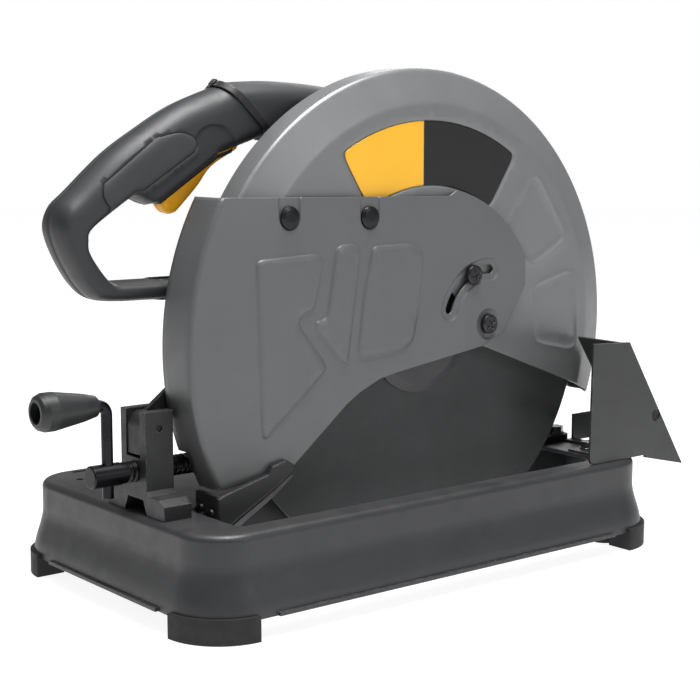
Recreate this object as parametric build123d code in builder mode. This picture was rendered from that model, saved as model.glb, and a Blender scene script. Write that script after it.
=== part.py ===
"""Abrasive chop saw, built as separate named parts in one shared frame.

Millimetres. +X is the operator's right (wheel side), +Y is the rear, +Z is up.
Dimensions are written from a point on the ground under the middle of the base.
Every piece is then moved so that the origin is under the middle of the whole saw.
"""
import os
from math import atan2, cos, degrees, hypot, pi, radians, sin, sqrt, tan

from build123d import *

# ---------------------------------------------------------------- dimensions
# base
MIDDLE = (-11.3, -10.5)             # middle of the saw's whole outline, which is the origin
BASE_W, BASE_L, BASE_H = 252.0, 431.0, 71.0
BASE_R = 34.0                       # plan corner radius
BASE_T = 3.0                        # wall
FLARE = 7.2                         # how far the skirt spreads
SKIRT_Z, FLARE_LO, FLARE_HI = 14.0, 17.0, 50.0
FOOT_OUT = 10.4                     # how far the feet stand out
WELL_X = (40.0, 106.0)              # opening the wheel drops through
WELL_Y = (-178.0, 177.0)

# head axes (y, z)
ARBOR = (31.0, 181.0)
HINGE = (190.0, 118.0)
GEAR_MODULE, PINION_TEETH, GEAR_TEETH = 1.25, 12, 60
GEAR_CENTRES = GEAR_MODULE * (PINION_TEETH + GEAR_TEETH) / 2
MOTOR_ANGLE = 114.0
MOTOR = (ARBOR[0] + GEAR_CENTRES * cos(radians(MOTOR_ANGLE)),
         ARBOR[1] + GEAR_CENTRES * sin(radians(MOTOR_ANGLE)))

# wheel and spindle
WHEEL_X, WHEEL_R, WHEEL_T, WHEEL_BORE = 46.0, 177.5, 3.0, 12.7
FLANGE_R = 47.5
SHAFT_R, SHAFT_TAIL_R = 10.0, 6.0
FIT = 0.05                          # radial running clearance

# upper guard: drum, cone and flat face
GUARD_R, GUARD_FACE_R = 200.0, 173.6
GUARD_X = (30.0, 51.6, 61.5)
GUARD_T = 2.5
PIVOT = (88.0, 184.0)               # lower guard's pivot screw
SLOT_R, SLOT_W = 43.0, 7.0
SLOT_SCREW_ANGLE = 113.0
SLOT_FROM, SLOT_TO = 87.0, 161.0
SHOULDER_R = 3.2                    # shoulder screws the front guard hangs on

# front guard
COVER_R, COVER_FACE_R = 216.0, 168.0
COVER_X = (25.0, 60.0, 67.0)
COVER_T = 2.5
COVER_EDGE_X = 35.0                 # low part of its wall starts here, to clear the vise screw

# vise
VISE_X, SCREW_Z, SCREW_R = 26.0, 100.0, 7.5
SCREW_PITCH = 4.0
SCREW_END, JOURNAL_R = -56.6, 5.5
RING_Y = (-59.0, -57.4)             # groove for the jaw's retaining ring
BLOCK_Y = (-210.0, -188.0)
LEVER_PIN = (-199.0, 131.0)
CRANK_Y, CRANK_Z, ROD_R = -231.0, 149.0, 4.0
JAW_Y = (-66.0, -56.0)
FENCE_Y = (-14.0, -6.0)
FENCE_PIVOT, FENCE_BOLT = (16.0, 6.0), (-64.0, 14.0)

# rear hinge on the base
CHEEKS = ((-42.0, -32.0), (10.0, 20.0))
HINGE_R = 8.0
LOCK_PIN = (176.0, 128.0)           # hold-down pin (y, z)
STOP_XY = (-4.0, 140.0)

# gear housing, arm and motor
ARM_X = (-14.0, 8.0)
COVER_PLATE_X = (8.0, 30.0)
HOUSING_R = 57.0
MOTOR_R, MOTOR_T = 55.0, 3.0
MOTOR_X = (-14.0, -126.0)
CAP_END_X = -156.0

# handle
HANDLE_X, HANDLE_HALF = -2.0, 19.0
HANDLE_T = 3.0
HANDLE_ROUND = 5.5
TRIGGER_PIVOT = (-112.0, 327.0)

# spindle lock: its pin and the gear's web holes
LOCK_BUTTON = (31.0, 157.0)


# ------------------------------------------------------------------- helpers
def sketch_yz(x, points, radius=0.0):
    """A filled outline of (y, z) points on the plane at x."""
    with BuildSketch(Plane.YZ.offset(x)) as outline:
        with BuildLine():
            Polyline(*points, close=True)
        make_face()
        if radius:
            fillet(outline.vertices(), radius)
    return outline.sketch


def plate_yz(points, x0, x1, radius=0.0, mode=Mode.ADD):
    """An outline of (y, z) points, extruded from x0 to x1."""
    extrude(sketch_yz(x0, points, radius), amount=x1 - x0, mode=mode)


def plate_xz(points, y0, y1, radius=0.0, mode=Mode.ADD):
    """An outline of (x, z) points, extruded from y0 to y1."""
    with BuildSketch(Plane.XZ.offset(-y0)) as outline:
        with BuildLine():
            Polyline(*points, close=True)
        make_face()
        if radius:
            fillet(outline.vertices(), radius)
    extrude(outline.sketch, amount=y0 - y1, mode=mode)


def plate_xy(points, z0, z1, radius=0.0, mode=Mode.ADD):
    """An outline of (x, y) points, extruded from z0 to z1."""
    with BuildSketch(Plane.XY.offset(z0)) as outline:
        with BuildLine():
            Polyline(*points, close=True)
        make_face()
        if radius:
            fillet(outline.vertices(), radius)
    extrude(outline.sketch, amount=z1 - z0, mode=mode)


def block(x, y, z, mode=Mode.ADD):
    """A box given as (low, high) pairs."""
    with Locations(((x[0] + x[1]) / 2, (y[0] + y[1]) / 2, (z[0] + z[1]) / 2)):
        Box(x[1] - x[0], y[1] - y[0], z[1] - z[0], mode=mode)


def rod_x(x0, x1, centre, radius, mode=Mode.ADD):
    with Locations(Location(((x0 + x1) / 2, centre[0], centre[1]), (0, 90, 0))):
        Cylinder(radius, abs(x1 - x0), mode=mode)


def rod_y(y0, y1, centre, radius, mode=Mode.ADD):
    with Locations(Location((centre[0], (y0 + y1) / 2, centre[1]), (90, 0, 0))):
        Cylinder(radius, abs(y1 - y0), mode=mode)


def rod_z(z0, z1, centre, radius, mode=Mode.ADD):
    with Locations((centre[0], centre[1], (z0 + z1) / 2)):
        Cylinder(radius, abs(z1 - z0), mode=mode)


def turned_x(profile, centre, mode=Mode.ADD):
    """A profile of (x, radius) points turned about an X axis through centre."""
    with BuildSketch(Plane.XZ.offset(-centre[0])) as half:
        with BuildLine():
            Polyline(*[(x, centre[1] + r) for x, r in profile], close=True)
        make_face()
    revolve(half.sketch, axis=Axis((0, centre[0], centre[1]), (1, 0, 0)), mode=mode)


def turned_y(profile, centre, mode=Mode.ADD):
    """A profile of (y, radius) points turned about a Y axis through (x, z)."""
    with BuildSketch(Plane.YZ.offset(centre[0])) as half:
        with BuildLine():
            Polyline(*[(y, centre[1] + r) for y, r in profile], close=True)
        make_face()
    revolve(half.sketch, axis=Axis((centre[0], 0, centre[1]), (0, 1, 0)), mode=mode)


def hex_x(x0, x1, centre, flats, mode=Mode.ADD):
    with BuildSketch(Plane.YZ.offset(x0)) as head:
        with Locations(centre):
            RegularPolygon(flats / 2, 6, major_radius=False)
    extrude(head.sketch, amount=x1 - x0, mode=mode)


def hex_z(z0, z1, centre, flats, mode=Mode.ADD):
    with BuildSketch(Plane.XY.offset(z0)) as head:
        with Locations(centre):
            RegularPolygon(flats / 2, 6, major_radius=False)
    extrude(head.sketch, amount=z1 - z0, mode=mode)


def side_edges(builder):
    """Edges round the leftmost and rightmost faces."""
    faces = builder.faces().sort_by(Axis.X)
    return [edge for face in (faces[0], faces[-1]) for edge in face.edges()]


def polar(centre, radius, angle):
    return (centre[0] + radius * cos(radians(angle)),
            centre[1] + radius * sin(radians(angle)))


def sector(centre, inner, outer, start, end, steps=24):
    """Outline of a ring sector as (y, z) points."""
    angles = [start + (end - start) * i / steps for i in range(steps + 1)]
    return ([polar(centre, outer, a) for a in angles]
            + [polar(centre, inner, a) for a in reversed(angles)])


def arc_band(x0, x1, centre, radius, width, start, end, mode=Mode.SUBTRACT):
    """A curved slot with round ends, cut or added from x0 to x1."""
    plate_yz(sector(centre, radius - width / 2, radius + width / 2, start, end), x0, x1,
             mode=mode)
    for angle in (start, end):
        rod_x(x0, x1, polar(centre, radius, angle), width / 2, mode=mode)


# ---------------------------------------------------------------------- base
def base_outline(z, grow):
    with BuildSketch(Plane.XY.offset(z)) as outline:
        RectangleRounded(BASE_W + 2 * grow, BASE_L + 2 * grow, BASE_R + grow)
    return outline.sketch


def skirt(inset, top, mode=Mode.ADD):
    """The tray's wall: a wide foot band, a curved waist and an upright wall."""
    extrude(base_outline(SKIRT_Z, FLARE - inset), amount=FLARE_LO - SKIRT_Z, mode=mode)
    waist = []
    for i in range(7):
        t = i / 6
        ease = t * t * (3 - 2 * t)
        z = FLARE_LO + (FLARE_HI - FLARE_LO) * t
        waist.append(base_outline(z, FLARE * (1 - ease) - inset))
    loft(waist, mode=mode)
    extrude(base_outline(FLARE_HI, -inset), amount=top - FLARE_HI, mode=mode)


BOSS_XY = [(sx * 100, sy * 190) for sx in (-1, 1) for sy in (-1, 1)]
BLOCK_BOLTS = [(-0.5 + VISE_X - 26, -197), (58 + VISE_X - 26, -197)]
BRACKET_BOLTS = [(-53, 175), (-53, 205), (29, 175), (29, 205)]
DEFLECTOR_BOLTS = [(80, 192), (104, 192)]

with BuildPart() as base_shell:
    skirt(0, BASE_H)
    top_rim = base_shell.faces().sort_by(Axis.Z)[-1].edges()
    fillet(top_rim, 5.0)
    skirt(BASE_T, BASE_H - BASE_T, mode=Mode.SUBTRACT)
    # rolled hem along the straight sides
    for side in (-1, 1):
        edge = side * (BASE_W / 2 + FLARE)
        block(sorted((edge - side, edge + 2.5 * side)), (-165, 165), (SKIRT_Z, SKIRT_Z + 2.6))
        edge = side * (BASE_L / 2 + FLARE)
        block((-75, 75), sorted((edge - side, edge + 2.5 * side)), (SKIRT_Z, SKIRT_Z + 2.6))
    # bosses the feet screw to
    for x, y in BOSS_XY:
        rod_z(SKIRT_Z, BASE_H - 1, (x, y), 9)
        rod_z(SKIRT_Z, SKIRT_Z + 14, (x, y), 2.5, mode=Mode.SUBTRACT)
    # stiffening ribs under the deck
    for x in (-80, -20, 34):
        block((x - 1.5, x + 1.5), (-BASE_L / 2 + 2, BASE_L / 2 - 2), (48, BASE_H - 1))
    # well for the wheel, locating slot and small hole
    plate_xy([(WELL_X[0], WELL_Y[0]), (WELL_X[1], WELL_Y[0]),
              (WELL_X[1], WELL_Y[1]), (WELL_X[0], WELL_Y[1])],
             BASE_H - 8, BASE_H + 1, radius=8, mode=Mode.SUBTRACT)
    plate_xy([(-117.5, -182), (-112.5, -182), (-112.5, -62), (-117.5, -62)],
             BASE_H - 8, BASE_H + 1, radius=2.4, mode=Mode.SUBTRACT)
    rod_z(BASE_H - 8, BASE_H + 1, (-90, -189), 3, mode=Mode.SUBTRACT)
    for x, y in BLOCK_BOLTS + BRACKET_BOLTS + DEFLECTOR_BOLTS:
        rod_z(BASE_H - 24, BASE_H + 1, (x, y), 4.0, mode=Mode.SUBTRACT)
    for x, y in (FENCE_PIVOT, FENCE_BOLT, STOP_XY):
        rod_z(BASE_H - 24, BASE_H + 1, (x, y), 4.0, mode=Mode.SUBTRACT)
base_shell.part.label = "base_shell"


def rubber_foot(sx, sy):
    """A corner foot: sole, outer lip around the skirt and inner pad under the boss."""
    span = 44.7
    half_w, half_l = BASE_W / 2 + FOOT_OUT, BASE_L / 2 + FOOT_OUT
    corner = [(sx * half_w, sy * half_l), (sx * (half_w - span), sy * half_l),
              (sx * (half_w - span), sy * (half_l - span)), (sx * half_w, sy * (half_l - span))]
    with BuildPart() as foot:
        extrude(base_outline(0, FOOT_OUT), amount=SKIRT_Z)
        extrude(base_outline(SKIRT_Z, FOOT_OUT), amount=3.6)
        extrude(base_outline(SKIRT_Z, FLARE + 0.05), amount=3.7, mode=Mode.SUBTRACT)
        extrude(base_outline(3.0, -12), amount=SKIRT_Z, mode=Mode.SUBTRACT)
        extrude(base_outline(0, -12), amount=3.1, mode=Mode.SUBTRACT)
        plate_xy(corner, -1, 20, mode=Mode.INTERSECT)
        rod_z(0, SKIRT_Z, (sx * 100, sy * 190), 11)
        rod_z(-1, 6, (sx * 100, sy * 190), 5.5, mode=Mode.SUBTRACT)
    return foot


foot_front_left = rubber_foot(-1, -1)
foot_front_right = rubber_foot(1, -1)
foot_rear_left = rubber_foot(-1, 1)
foot_rear_right = rubber_foot(1, 1)
foot_front_left.part.label = "foot_front_left"
foot_front_right.part.label = "foot_front_right"
foot_rear_left.part.label = "foot_rear_left"
foot_rear_right.part.label = "foot_rear_right"

BOLT_SEATS = ([(p, BASE_H + 6) for p in BRACKET_BOLTS]
              + [(p, BASE_H + 2) for p in DEFLECTOR_BOLTS])

with BuildPart() as base_bolts:
    for centre in BLOCK_BOLTS:      # these come up from under the deck
        rod_z(BASE_H - 6, BASE_H + 7.5, centre, 3.9)
        hex_z(BASE_H - 8.4, BASE_H - 3, centre, 12)
    for centre, seat in BOLT_SEATS:
        rod_z(seat - 20, seat + 1, centre, 3.9)
        rod_z(seat, seat + 1.4, centre, 7.5)
        hex_z(seat + 1.4, seat + 6.4, centre, 12)
base_bolts.part.label = "base_bolts"

# ---------------------------------------------------------------------- vise
BX = VISE_X - 26                    # block outline is drawn for a screw at x = 26
BLOCK_FRONT = [(-10.5, 71), (-9.5, 78), (1, 84), (9, 88), (9, 143), (16, 143), (16, 110),
               (34.5, 110), (34.5, 143), (42, 143), (42, 88), (45, 85), (58, 85), (64.5, 81),
               (64.5, 71), (42, 71), (37, 81.5), (17, 81.5), (12, 71)]

with BuildPart() as vise_block:
    plate_xz([(x + BX, z) for x, z in BLOCK_FRONT], BLOCK_Y[0], BLOCK_Y[1])
    for x, y in BLOCK_BOLTS:        # tapped from below
        rod_z(BASE_H - 1, BASE_H + 8.5, (x, y), 4.0, mode=Mode.SUBTRACT)
    rod_y(BLOCK_Y[0] - 1, BLOCK_Y[1] + 1, (VISE_X, SCREW_Z), SCREW_R + FIT, mode=Mode.SUBTRACT)
    rod_x(8, 42.5, LEVER_PIN, 2.5, mode=Mode.SUBTRACT)
vise_block.part.label = "vise_block"

with BuildPart() as lever_pin:
    rod_x(9.5, 41.0, LEVER_PIN, 2.5)
lever_pin.part.label = "lever_pin"

with BuildPart() as release_lever:
    # boss between the cheeks, with a nose that holds the half nut down
    rod_x(16.5, 34.0, LEVER_PIN, 10.0)
    plate_yz([(-209, 112), (-190, 112), (-189, 131), (-209, 131)], 16.5, 34.0)
    # flat bar that runs back past the guard
    plate_yz([(-204, 135), (-194, 122), (-130, 178), (-126, 186), (-134, 188)],
             16.5, 20.5, radius=2)
    plate_yz([(-140, 182), (-132, 175), (-124, 184), (-131, 191)], 12.5, 20.5, radius=2)
    rod_x(16, 35, LEVER_PIN, 2.5 + FIT, mode=Mode.SUBTRACT)
release_lever.part.label = "release_lever"

with BuildPart() as vise_screw:
    rod_y(-245, -222, (VISE_X, SCREW_Z), 8.0)
    rod_y(-222.5, SCREW_END, (VISE_X, SCREW_Z), SCREW_R)
    # thread, from the head to the jaw's hub
    groove_y = -218.0
    while groove_y < -82:
        turned_y([(groove_y, SCREW_R + 1), (groove_y, SCREW_R), (groove_y + 1.0, SCREW_R - 1.1),
                  (groove_y + 1.6, SCREW_R - 1.1), (groove_y + 2.6, SCREW_R),
                  (groove_y + 2.6, SCREW_R + 1)], (VISE_X, SCREW_Z), mode=Mode.SUBTRACT)
        groove_y += SCREW_PITCH
    # plain journal and the groove for its retaining ring
    turned_y([(-78, SCREW_R + 1), (-78, JOURNAL_R), (SCREW_END + 1, JOURNAL_R),
              (SCREW_END + 1, SCREW_R + 1)], (VISE_X, SCREW_Z), mode=Mode.SUBTRACT)
    turned_y([(RING_Y[0], 6), (RING_Y[0], 4.4), (RING_Y[1], 4.4), (RING_Y[1], 6)],
             (VISE_X, SCREW_Z), mode=Mode.SUBTRACT)
    rod_z(SCREW_Z - 10, SCREW_Z + 10, (VISE_X, CRANK_Y), ROD_R + FIT, mode=Mode.SUBTRACT)
    chamfer(vise_screw.faces().sort_by(Axis.Y)[0].edges(), 0.8)
vise_screw.part.label = "vise_screw"

with BuildPart() as crank_rod:
    bend = 6.5
    mid = bend * (1 - sin(pi / 4))
    with BuildLine():
        Line((VISE_X, CRANK_Y, 84), (VISE_X, CRANK_Y, CRANK_Z - bend))
        ThreePointArc((VISE_X, CRANK_Y, CRANK_Z - bend),
                      (VISE_X, CRANK_Y - mid, CRANK_Z - mid),
                      (VISE_X, CRANK_Y - bend, CRANK_Z))
        Line((VISE_X, CRANK_Y - bend, CRANK_Z), (VISE_X, -276.5, CRANK_Z))
    with BuildSketch(Plane(origin=(VISE_X, CRANK_Y, 84), z_dir=(0, 0, 1))):
        Circle(ROD_R)
    sweep()
crank_rod.part.label = "crank_rod"

with BuildPart() as crank_knob:
    turned_y([(-284.5, 7.4), (-284.5, 9.6), (-282.8, 11.8), (-279, 13.3), (-272, 13.3),
              (-249, 9.6), (-240, 7.4), (-238.4, 5.8), (-238.4, ROD_R + FIT),
              (-274, ROD_R + FIT), (-274, 7.4)], (VISE_X, CRANK_Z))
crank_knob.part.label = "crank_knob"

with BuildPart() as vise_jaw:
    block((-40, 38), JAW_Y, (BASE_H + 1, BASE_H + 55))
    fillet(vise_jaw.edges().filter_by(Axis.Y), 4)
    rod_y(-80, JAW_Y[0] + 1, (VISE_X, SCREW_Z), 11)
    for x in (-28, 8):              # ribs behind the face
        plate_yz([(-90, BASE_H + 1), (JAW_Y[0] + 1, BASE_H + 1), (JAW_Y[0] + 1, BASE_H + 45)],
                 x - 2, x + 2)
    block((-34, 12), (-96, JAW_Y[0] + 1), (BASE_H + 1, BASE_H + 6))
    for i in range(9):              # serrated face
        z = BASE_H + 6 + i * 5.2
        block((-36, 34), (JAW_Y[1] - 0.8, JAW_Y[1] + 1), (z, z + 1.6), mode=Mode.SUBTRACT)
    rod_y(-81, JAW_Y[1] + 1, (VISE_X, SCREW_Z), JOURNAL_R + FIT, mode=Mode.SUBTRACT)
    rod_y(RING_Y[0] - 0.3, JAW_Y[1] + 1, (VISE_X, SCREW_Z), 8.8, mode=Mode.SUBTRACT)
    rod_y(-81, -77.9, (VISE_X, SCREW_Z), 8.0, mode=Mode.SUBTRACT)
vise_jaw.part.label = "vise_jaw"

with BuildPart() as jaw_ring:
    rod_y(RING_Y[0] + 0.1, RING_Y[1] - 0.1, (VISE_X, SCREW_Z), 8.4)
    rod_y(RING_Y[0], RING_Y[1], (VISE_X, SCREW_Z), 4.4 + FIT, mode=Mode.SUBTRACT)
    block((VISE_X - 1.5, VISE_X + 1.5), RING_Y, (SCREW_Z - 9, SCREW_Z - 3), mode=Mode.SUBTRACT)
jaw_ring.part.label = "jaw_ring"

# --------------------------------------------------------------------- fence
with BuildPart() as fence:
    block((-100, 32), FENCE_Y, (BASE_H + 0.1, BASE_H + 54))
    fillet(fence.edges().filter_by(Axis.Y), 4)
    plate_xy([(-92, -7), (28, -7), (28, 14), (20, 18), (-84, 26), (-92, 20)],
             BASE_H + 0.1, BASE_H + 6, radius=3)
    for x in (-86, -38, 2):         # gussets behind the face
        plate_yz([(-7, BASE_H + 5), (13, BASE_H + 5), (-7, BASE_H + 44)], x - 2, x + 2)
    for i in range(9):              # serrated face
        z = BASE_H + 6 + i * 5.2
        block((-96, 28), (FENCE_Y[0] - 1, FENCE_Y[0] + 0.8), (z, z + 1.6), mode=Mode.SUBTRACT)
    rod_z(BASE_H - 1, BASE_H + 7, FENCE_PIVOT, 4.0 + FIT, mode=Mode.SUBTRACT)
    # the second bolt's clearance notch, open at the back
    plate_xy([(-69, 8), (-56, 8), (-56, 30), (-69, 30)], BASE_H - 1, BASE_H + 7,
             mode=Mode.SUBTRACT)
fence.part.label = "fence"

with BuildPart() as fence_bolts:
    for centre in (FENCE_PIVOT, FENCE_BOLT):
        rod_z(BASE_H - 14, BASE_H + 7, centre, 3.95)
        rod_z(BASE_H + 6.1, BASE_H + 7.5, centre, 8)
        hex_z(BASE_H + 7.5, BASE_H + 12.5, centre, 13)
fence_bolts.part.label = "fence_bolts"

# ---------------------------------------------------------------- rear pivot
with BuildPart() as pivot_bracket:
    block((-62, 38), (165, 214), (BASE_H, BASE_H + 6))
    block((-16, 8), (128, 168), (BASE_H, BASE_H + 6))
    fillet(pivot_bracket.edges().filter_by(Axis.Z), 5)
    for x0, x1 in CHEEKS:
        plate_yz([(167, BASE_H + 5), (212, BASE_H + 5), (207, 128), (200, 138),
                  (176, 138), (168, 130)], x0, x1, radius=3)
    block((CHEEKS[0][1] - 1, CHEEKS[1][0] + 1), (167, 172), (BASE_H + 5, BASE_H + 14))
    rod_z(BASE_H + 5, BASE_H + 12, STOP_XY, 9)
    rod_z(BASE_H - 1, BASE_H + 13, STOP_XY, 4.0, mode=Mode.SUBTRACT)
    rod_x(CHEEKS[0][0] - 1, CHEEKS[1][1] + 1, HINGE, HINGE_R, mode=Mode.SUBTRACT)
    rod_x(CHEEKS[0][0] - 5, CHEEKS[0][0] + 1, LOCK_PIN, 7)
    rod_x(CHEEKS[0][0] - 6, CHEEKS[0][1] + 1, LOCK_PIN, 3.0 + FIT, mode=Mode.SUBTRACT)
    for x, y in BRACKET_BOLTS:
        rod_z(BASE_H - 1, BASE_H + 7, (x, y), 4.0, mode=Mode.SUBTRACT)
pivot_bracket.part.label = "pivot_bracket"

with BuildPart() as pivot_pin:
    rod_x(CHEEKS[0][0] - 3, CHEEKS[1][1] + 5, HINGE, HINGE_R)
    rod_x(CHEEKS[1][1], CHEEKS[1][1] + 5, HINGE, 12)
    chamfer(pivot_pin.faces().sort_by(Axis.X)[0].edges(), 1.2)
pivot_pin.part.label = "pivot_pin"

SPRING_X, SPRING_PITCH, SPRING_TURNS, WIRE_R, COIL_R = -29.5, 3.4, 4, 1.5, 10.6
with BuildPart() as return_spring:
    with BuildLine():
        coil = Helix(SPRING_PITCH, SPRING_PITCH * (SPRING_TURNS - 0.7), COIL_R,
                     center=(SPRING_X, *HINGE), direction=(1, 0, 0))
    start, heading = coil @ 0, coil % 0
    with BuildSketch(Plane(origin=start, z_dir=heading)):
        Circle(WIRE_R)
    sweep(path=coil)
return_spring.part.label = "return_spring"

with BuildPart() as depth_stop:
    rod_z(56, 106, STOP_XY, 3.95)
    hex_z(BASE_H + 12.05, BASE_H + 18, STOP_XY, 13)
    hex_z(103, 108, STOP_XY, 10)
    rod_z(107, 109.6, STOP_XY, 3.6)
depth_stop.part.label = "depth_stop"

with BuildPart() as lock_pin:
    rod_x(-72, -34, LOCK_PIN, 3.0)
    rod_x(-82, -70.5, LOCK_PIN, 7.5)
    chamfer(lock_pin.faces().sort_by(Axis.X)[0].edges(), 1.2)
lock_pin.part.label = "lock_pin"

# ----------------------------------------------------------- spark deflector
SLOPE_TOP, SLOPE_BOTTOM = (193.0, 165.5), (263.5, 59.0)

with BuildPart() as spark_deflector:
    plate_yz([(150, BASE_H + 0.2), (216, BASE_H + 0.2), (216, 69), (263, 58), (194, 166),
              (152, 168)], 118, 120)
    fillet(spark_deflector.edges().filter_by(Axis.X).sort_by(Axis.Y)[0:1], 5)
    with Locations(Location((119, 228, 103), (0, 90, 0))):
        Cylinder(5.2, 6, mode=Mode.SUBTRACT)
    # sloping back, its upper part beside the guard and its low part behind the wheel
    for x0, high in ((66, 1.0), (39, 0.33)):
        foot = (SLOPE_BOTTOM[0], SLOPE_BOTTOM[1])
        head = (SLOPE_BOTTOM[0] + high * (SLOPE_TOP[0] - SLOPE_BOTTOM[0]),
                SLOPE_BOTTOM[1] + high * (SLOPE_TOP[1] - SLOPE_BOTTOM[1]))
        plate_yz([foot, head, (head[0] - 2.4, head[1] - 0.2), (foot[0] - 2.4, foot[1] + 0.4)],
                 x0, 119)
    # low left side and the flange on the deck
    plate_yz([(214.5, BASE_H + 0.2), (254, BASE_H + 0.2), (237, 94), (214.5, 94)], 39, 41)
    block((70, 119), (178, 207), (BASE_H, BASE_H + 2))
    for x, y in DEFLECTOR_BOLTS:
        rod_z(BASE_H - 1, BASE_H + 3, (x, y), 4.0, mode=Mode.SUBTRACT)
    block((39, 119), (206, 217), (BASE_H, BASE_H + 2))
spark_deflector.part.label = "spark_deflector"

# ------------------------------------------------------ arm and gear housing
ARM_BEAM = [(40, 142), (176, 101), (202, 136), (70, 236)]
NECK_BEAM = [(-30, 262), (-46, 318), (-71.5, 329.5), (-98, 356), (-22, 357),
             (30, 330), (50, 262)]
NECK_TONGUE = [(-66, 343.2), (-134, 343.2), (-134, 350), (-108, 351.5), (-66, 352)]
BAR_TONGUE = [(-20, 217.4), (-78, 217.6), (-78, 225.8), (-20, 226)]


def housing_blob(x0, x1, grow=0.0):
    rod_x(x0, x1, ARBOR, HOUSING_R + grow)
    rod_x(x0, x1, MOTOR, HOUSING_R + grow)


def gear_chamber(x0, x1):
    rod_x(x0, x1, ARBOR, 41, mode=Mode.SUBTRACT)
    rod_x(x0, x1, MOTOR, 11, mode=Mode.SUBTRACT)


HOUSING_SCREWS = [polar(ARBOR, 50.5, a) for a in (-150, -75, -10)] + \
                 [polar(MOTOR, 50.5, a) for a in (35, 150)]

with BuildPart() as swing_arm:
    housing_blob(*ARM_X)
    plate_yz(ARM_BEAM, *ARM_X)
    plate_yz(NECK_BEAM, *ARM_X, radius=2)
    rod_x(-15, 9.5, HINGE, 22)
    plate_yz(NECK_TONGUE, -8, 4)
    plate_yz(BAR_TONGUE, -8, 4)
    # lightening pockets each side of a web
    for x0, x1 in ((ARM_X[0] - 1, -7), (1, ARM_X[1] + 1)):
        plate_yz([(92, 143), (160, 120), (174, 142), (98, 196)], x0, x1, radius=6,
                 mode=Mode.SUBTRACT)
        plate_yz([(-22, 302), (-30, 342), (-24, 346), (20, 324), (34, 292)], x0, x1, radius=4,
                 mode=Mode.SUBTRACT)
    gear_chamber(-4, ARM_X[1] + 1)
    rod_x(-12, -3, ARBOR, 14, mode=Mode.SUBTRACT)                # spindle rear bearing
    rod_x(ARM_X[0] - 1, -7, MOTOR, 13, mode=Mode.SUBTRACT)       # motor front bearing
    rod_x(-8, -3, MOTOR, 9.2, mode=Mode.SUBTRACT)
    rod_x(-16, 11, HINGE, HINGE_R + FIT, mode=Mode.SUBTRACT)
    rod_x(-16, -10, LOCK_PIN, 3.2, mode=Mode.SUBTRACT)
    rod_x(ARM_X[0] - 1, -3, LOCK_BUTTON, 3.5 + FIT, mode=Mode.SUBTRACT)
    for centre in HOUSING_SCREWS:
        rod_x(-6, ARM_X[1] + 1, centre, 2.5, mode=Mode.SUBTRACT)
swing_arm.part.label = "swing_arm"

with BuildPart() as gear_cover:
    housing_blob(COVER_PLATE_X[0], 20)
    rod_x(19, COVER_PLATE_X[1], ARBOR, HOUSING_R)
    rod_x(COVER_PLATE_X[1] - 1, 34, ARBOR, 44)
    gear_chamber(COVER_PLATE_X[0] - 1, 10.5)
    rod_x(10, 26, ARBOR, 21, mode=Mode.SUBTRACT)                 # spindle front bearing
    rod_x(25, 35, ARBOR, 12, mode=Mode.SUBTRACT)
    rod_x(10, 14, MOTOR, 6.5, mode=Mode.SUBTRACT)
    for centre in HOUSING_SCREWS:
        rod_x(COVER_PLATE_X[0] - 1, COVER_PLATE_X[1] + 1, centre, 2.5, mode=Mode.SUBTRACT)
gear_cover.part.label = "gear_cover"

with BuildPart() as housing_screws:
    for i, centre in enumerate(HOUSING_SCREWS):
        seat = 20 if i > 2 else GUARD_X[0] + GUARD_T
        rod_x(-5, seat + 0.5, centre, 2.45)
        rod_x(seat, seat + 4, centre, 4.5)
        hex_x(seat + 1.5, seat + 5, centre, 4, mode=Mode.SUBTRACT)
housing_screws.part.label = "housing_screws"


# ---------------------------------------------------------- gears and spindle
def gear_outline(teeth, centre, first, addendum, dedendum, backlash=0.22):
    """Involute tooth outline, 20 degree pressure angle, first tooth centred at an angle."""
    pitch_r = GEAR_MODULE * teeth / 2
    base_r = pitch_r * cos(radians(20))
    tip_r, root_r = pitch_r + addendum * GEAR_MODULE, pitch_r - dedendum * GEAR_MODULE
    half = pi / (2 * teeth) - backlash / (2 * pitch_r)
    involute_20 = tan(radians(20)) - radians(20)
    flank = []
    for i in range(5):
        r = max(root_r, base_r) + (tip_r - max(root_r, base_r)) * i / 4
        angle = atan2(sqrt(max(r * r - base_r * base_r, 0)), base_r)
        flank.append((r, half + involute_20 - (tan(angle) - angle)))
    if root_r < base_r:
        flank.insert(0, (root_r, flank[0][1]))
    points = []
    for tooth in range(teeth):
        middle = radians(first) + 2 * pi * tooth / teeth
        points += [(centre[0] + r * cos(middle - a), centre[1] + r * sin(middle - a))
                   for r, a in flank]
        points += [(centre[0] + r * cos(middle + a), centre[1] + r * sin(middle + a))
                   for r, a in reversed(flank)]
    return points


with BuildPart() as spindle_gear:
    plate_yz(gear_outline(GEAR_TEETH, ARBOR, MOTOR_ANGLE + 180 / GEAR_TEETH, 0.5, 1.15), -3, 9)
    for x0, x1 in ((-3.5, 0), (6, 9.5)):
        turned_x([(x0, 14), (x0, 33), (x1, 33), (x1, 14)], ARBOR, mode=Mode.SUBTRACT)
    rod_x(-4, 10, ARBOR, SHAFT_R, mode=Mode.SUBTRACT)
    for i in range(4):
        rod_x(-4, 10, polar(ARBOR, 24, 90 * i), 4.2, mode=Mode.SUBTRACT)
spindle_gear.part.label = "spindle_gear"

with BuildPart() as spindle_shaft:
    turned_x([(-12, 0), (-12, SHAFT_TAIL_R), (-3.5, SHAFT_TAIL_R), (-3.5, SHAFT_R), (44, SHAFT_R),
              (44, 0)], ARBOR)
    rod_x(22, 45, ARBOR, 5.02, mode=Mode.SUBTRACT)
spindle_shaft.part.label = "spindle_shaft"

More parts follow.
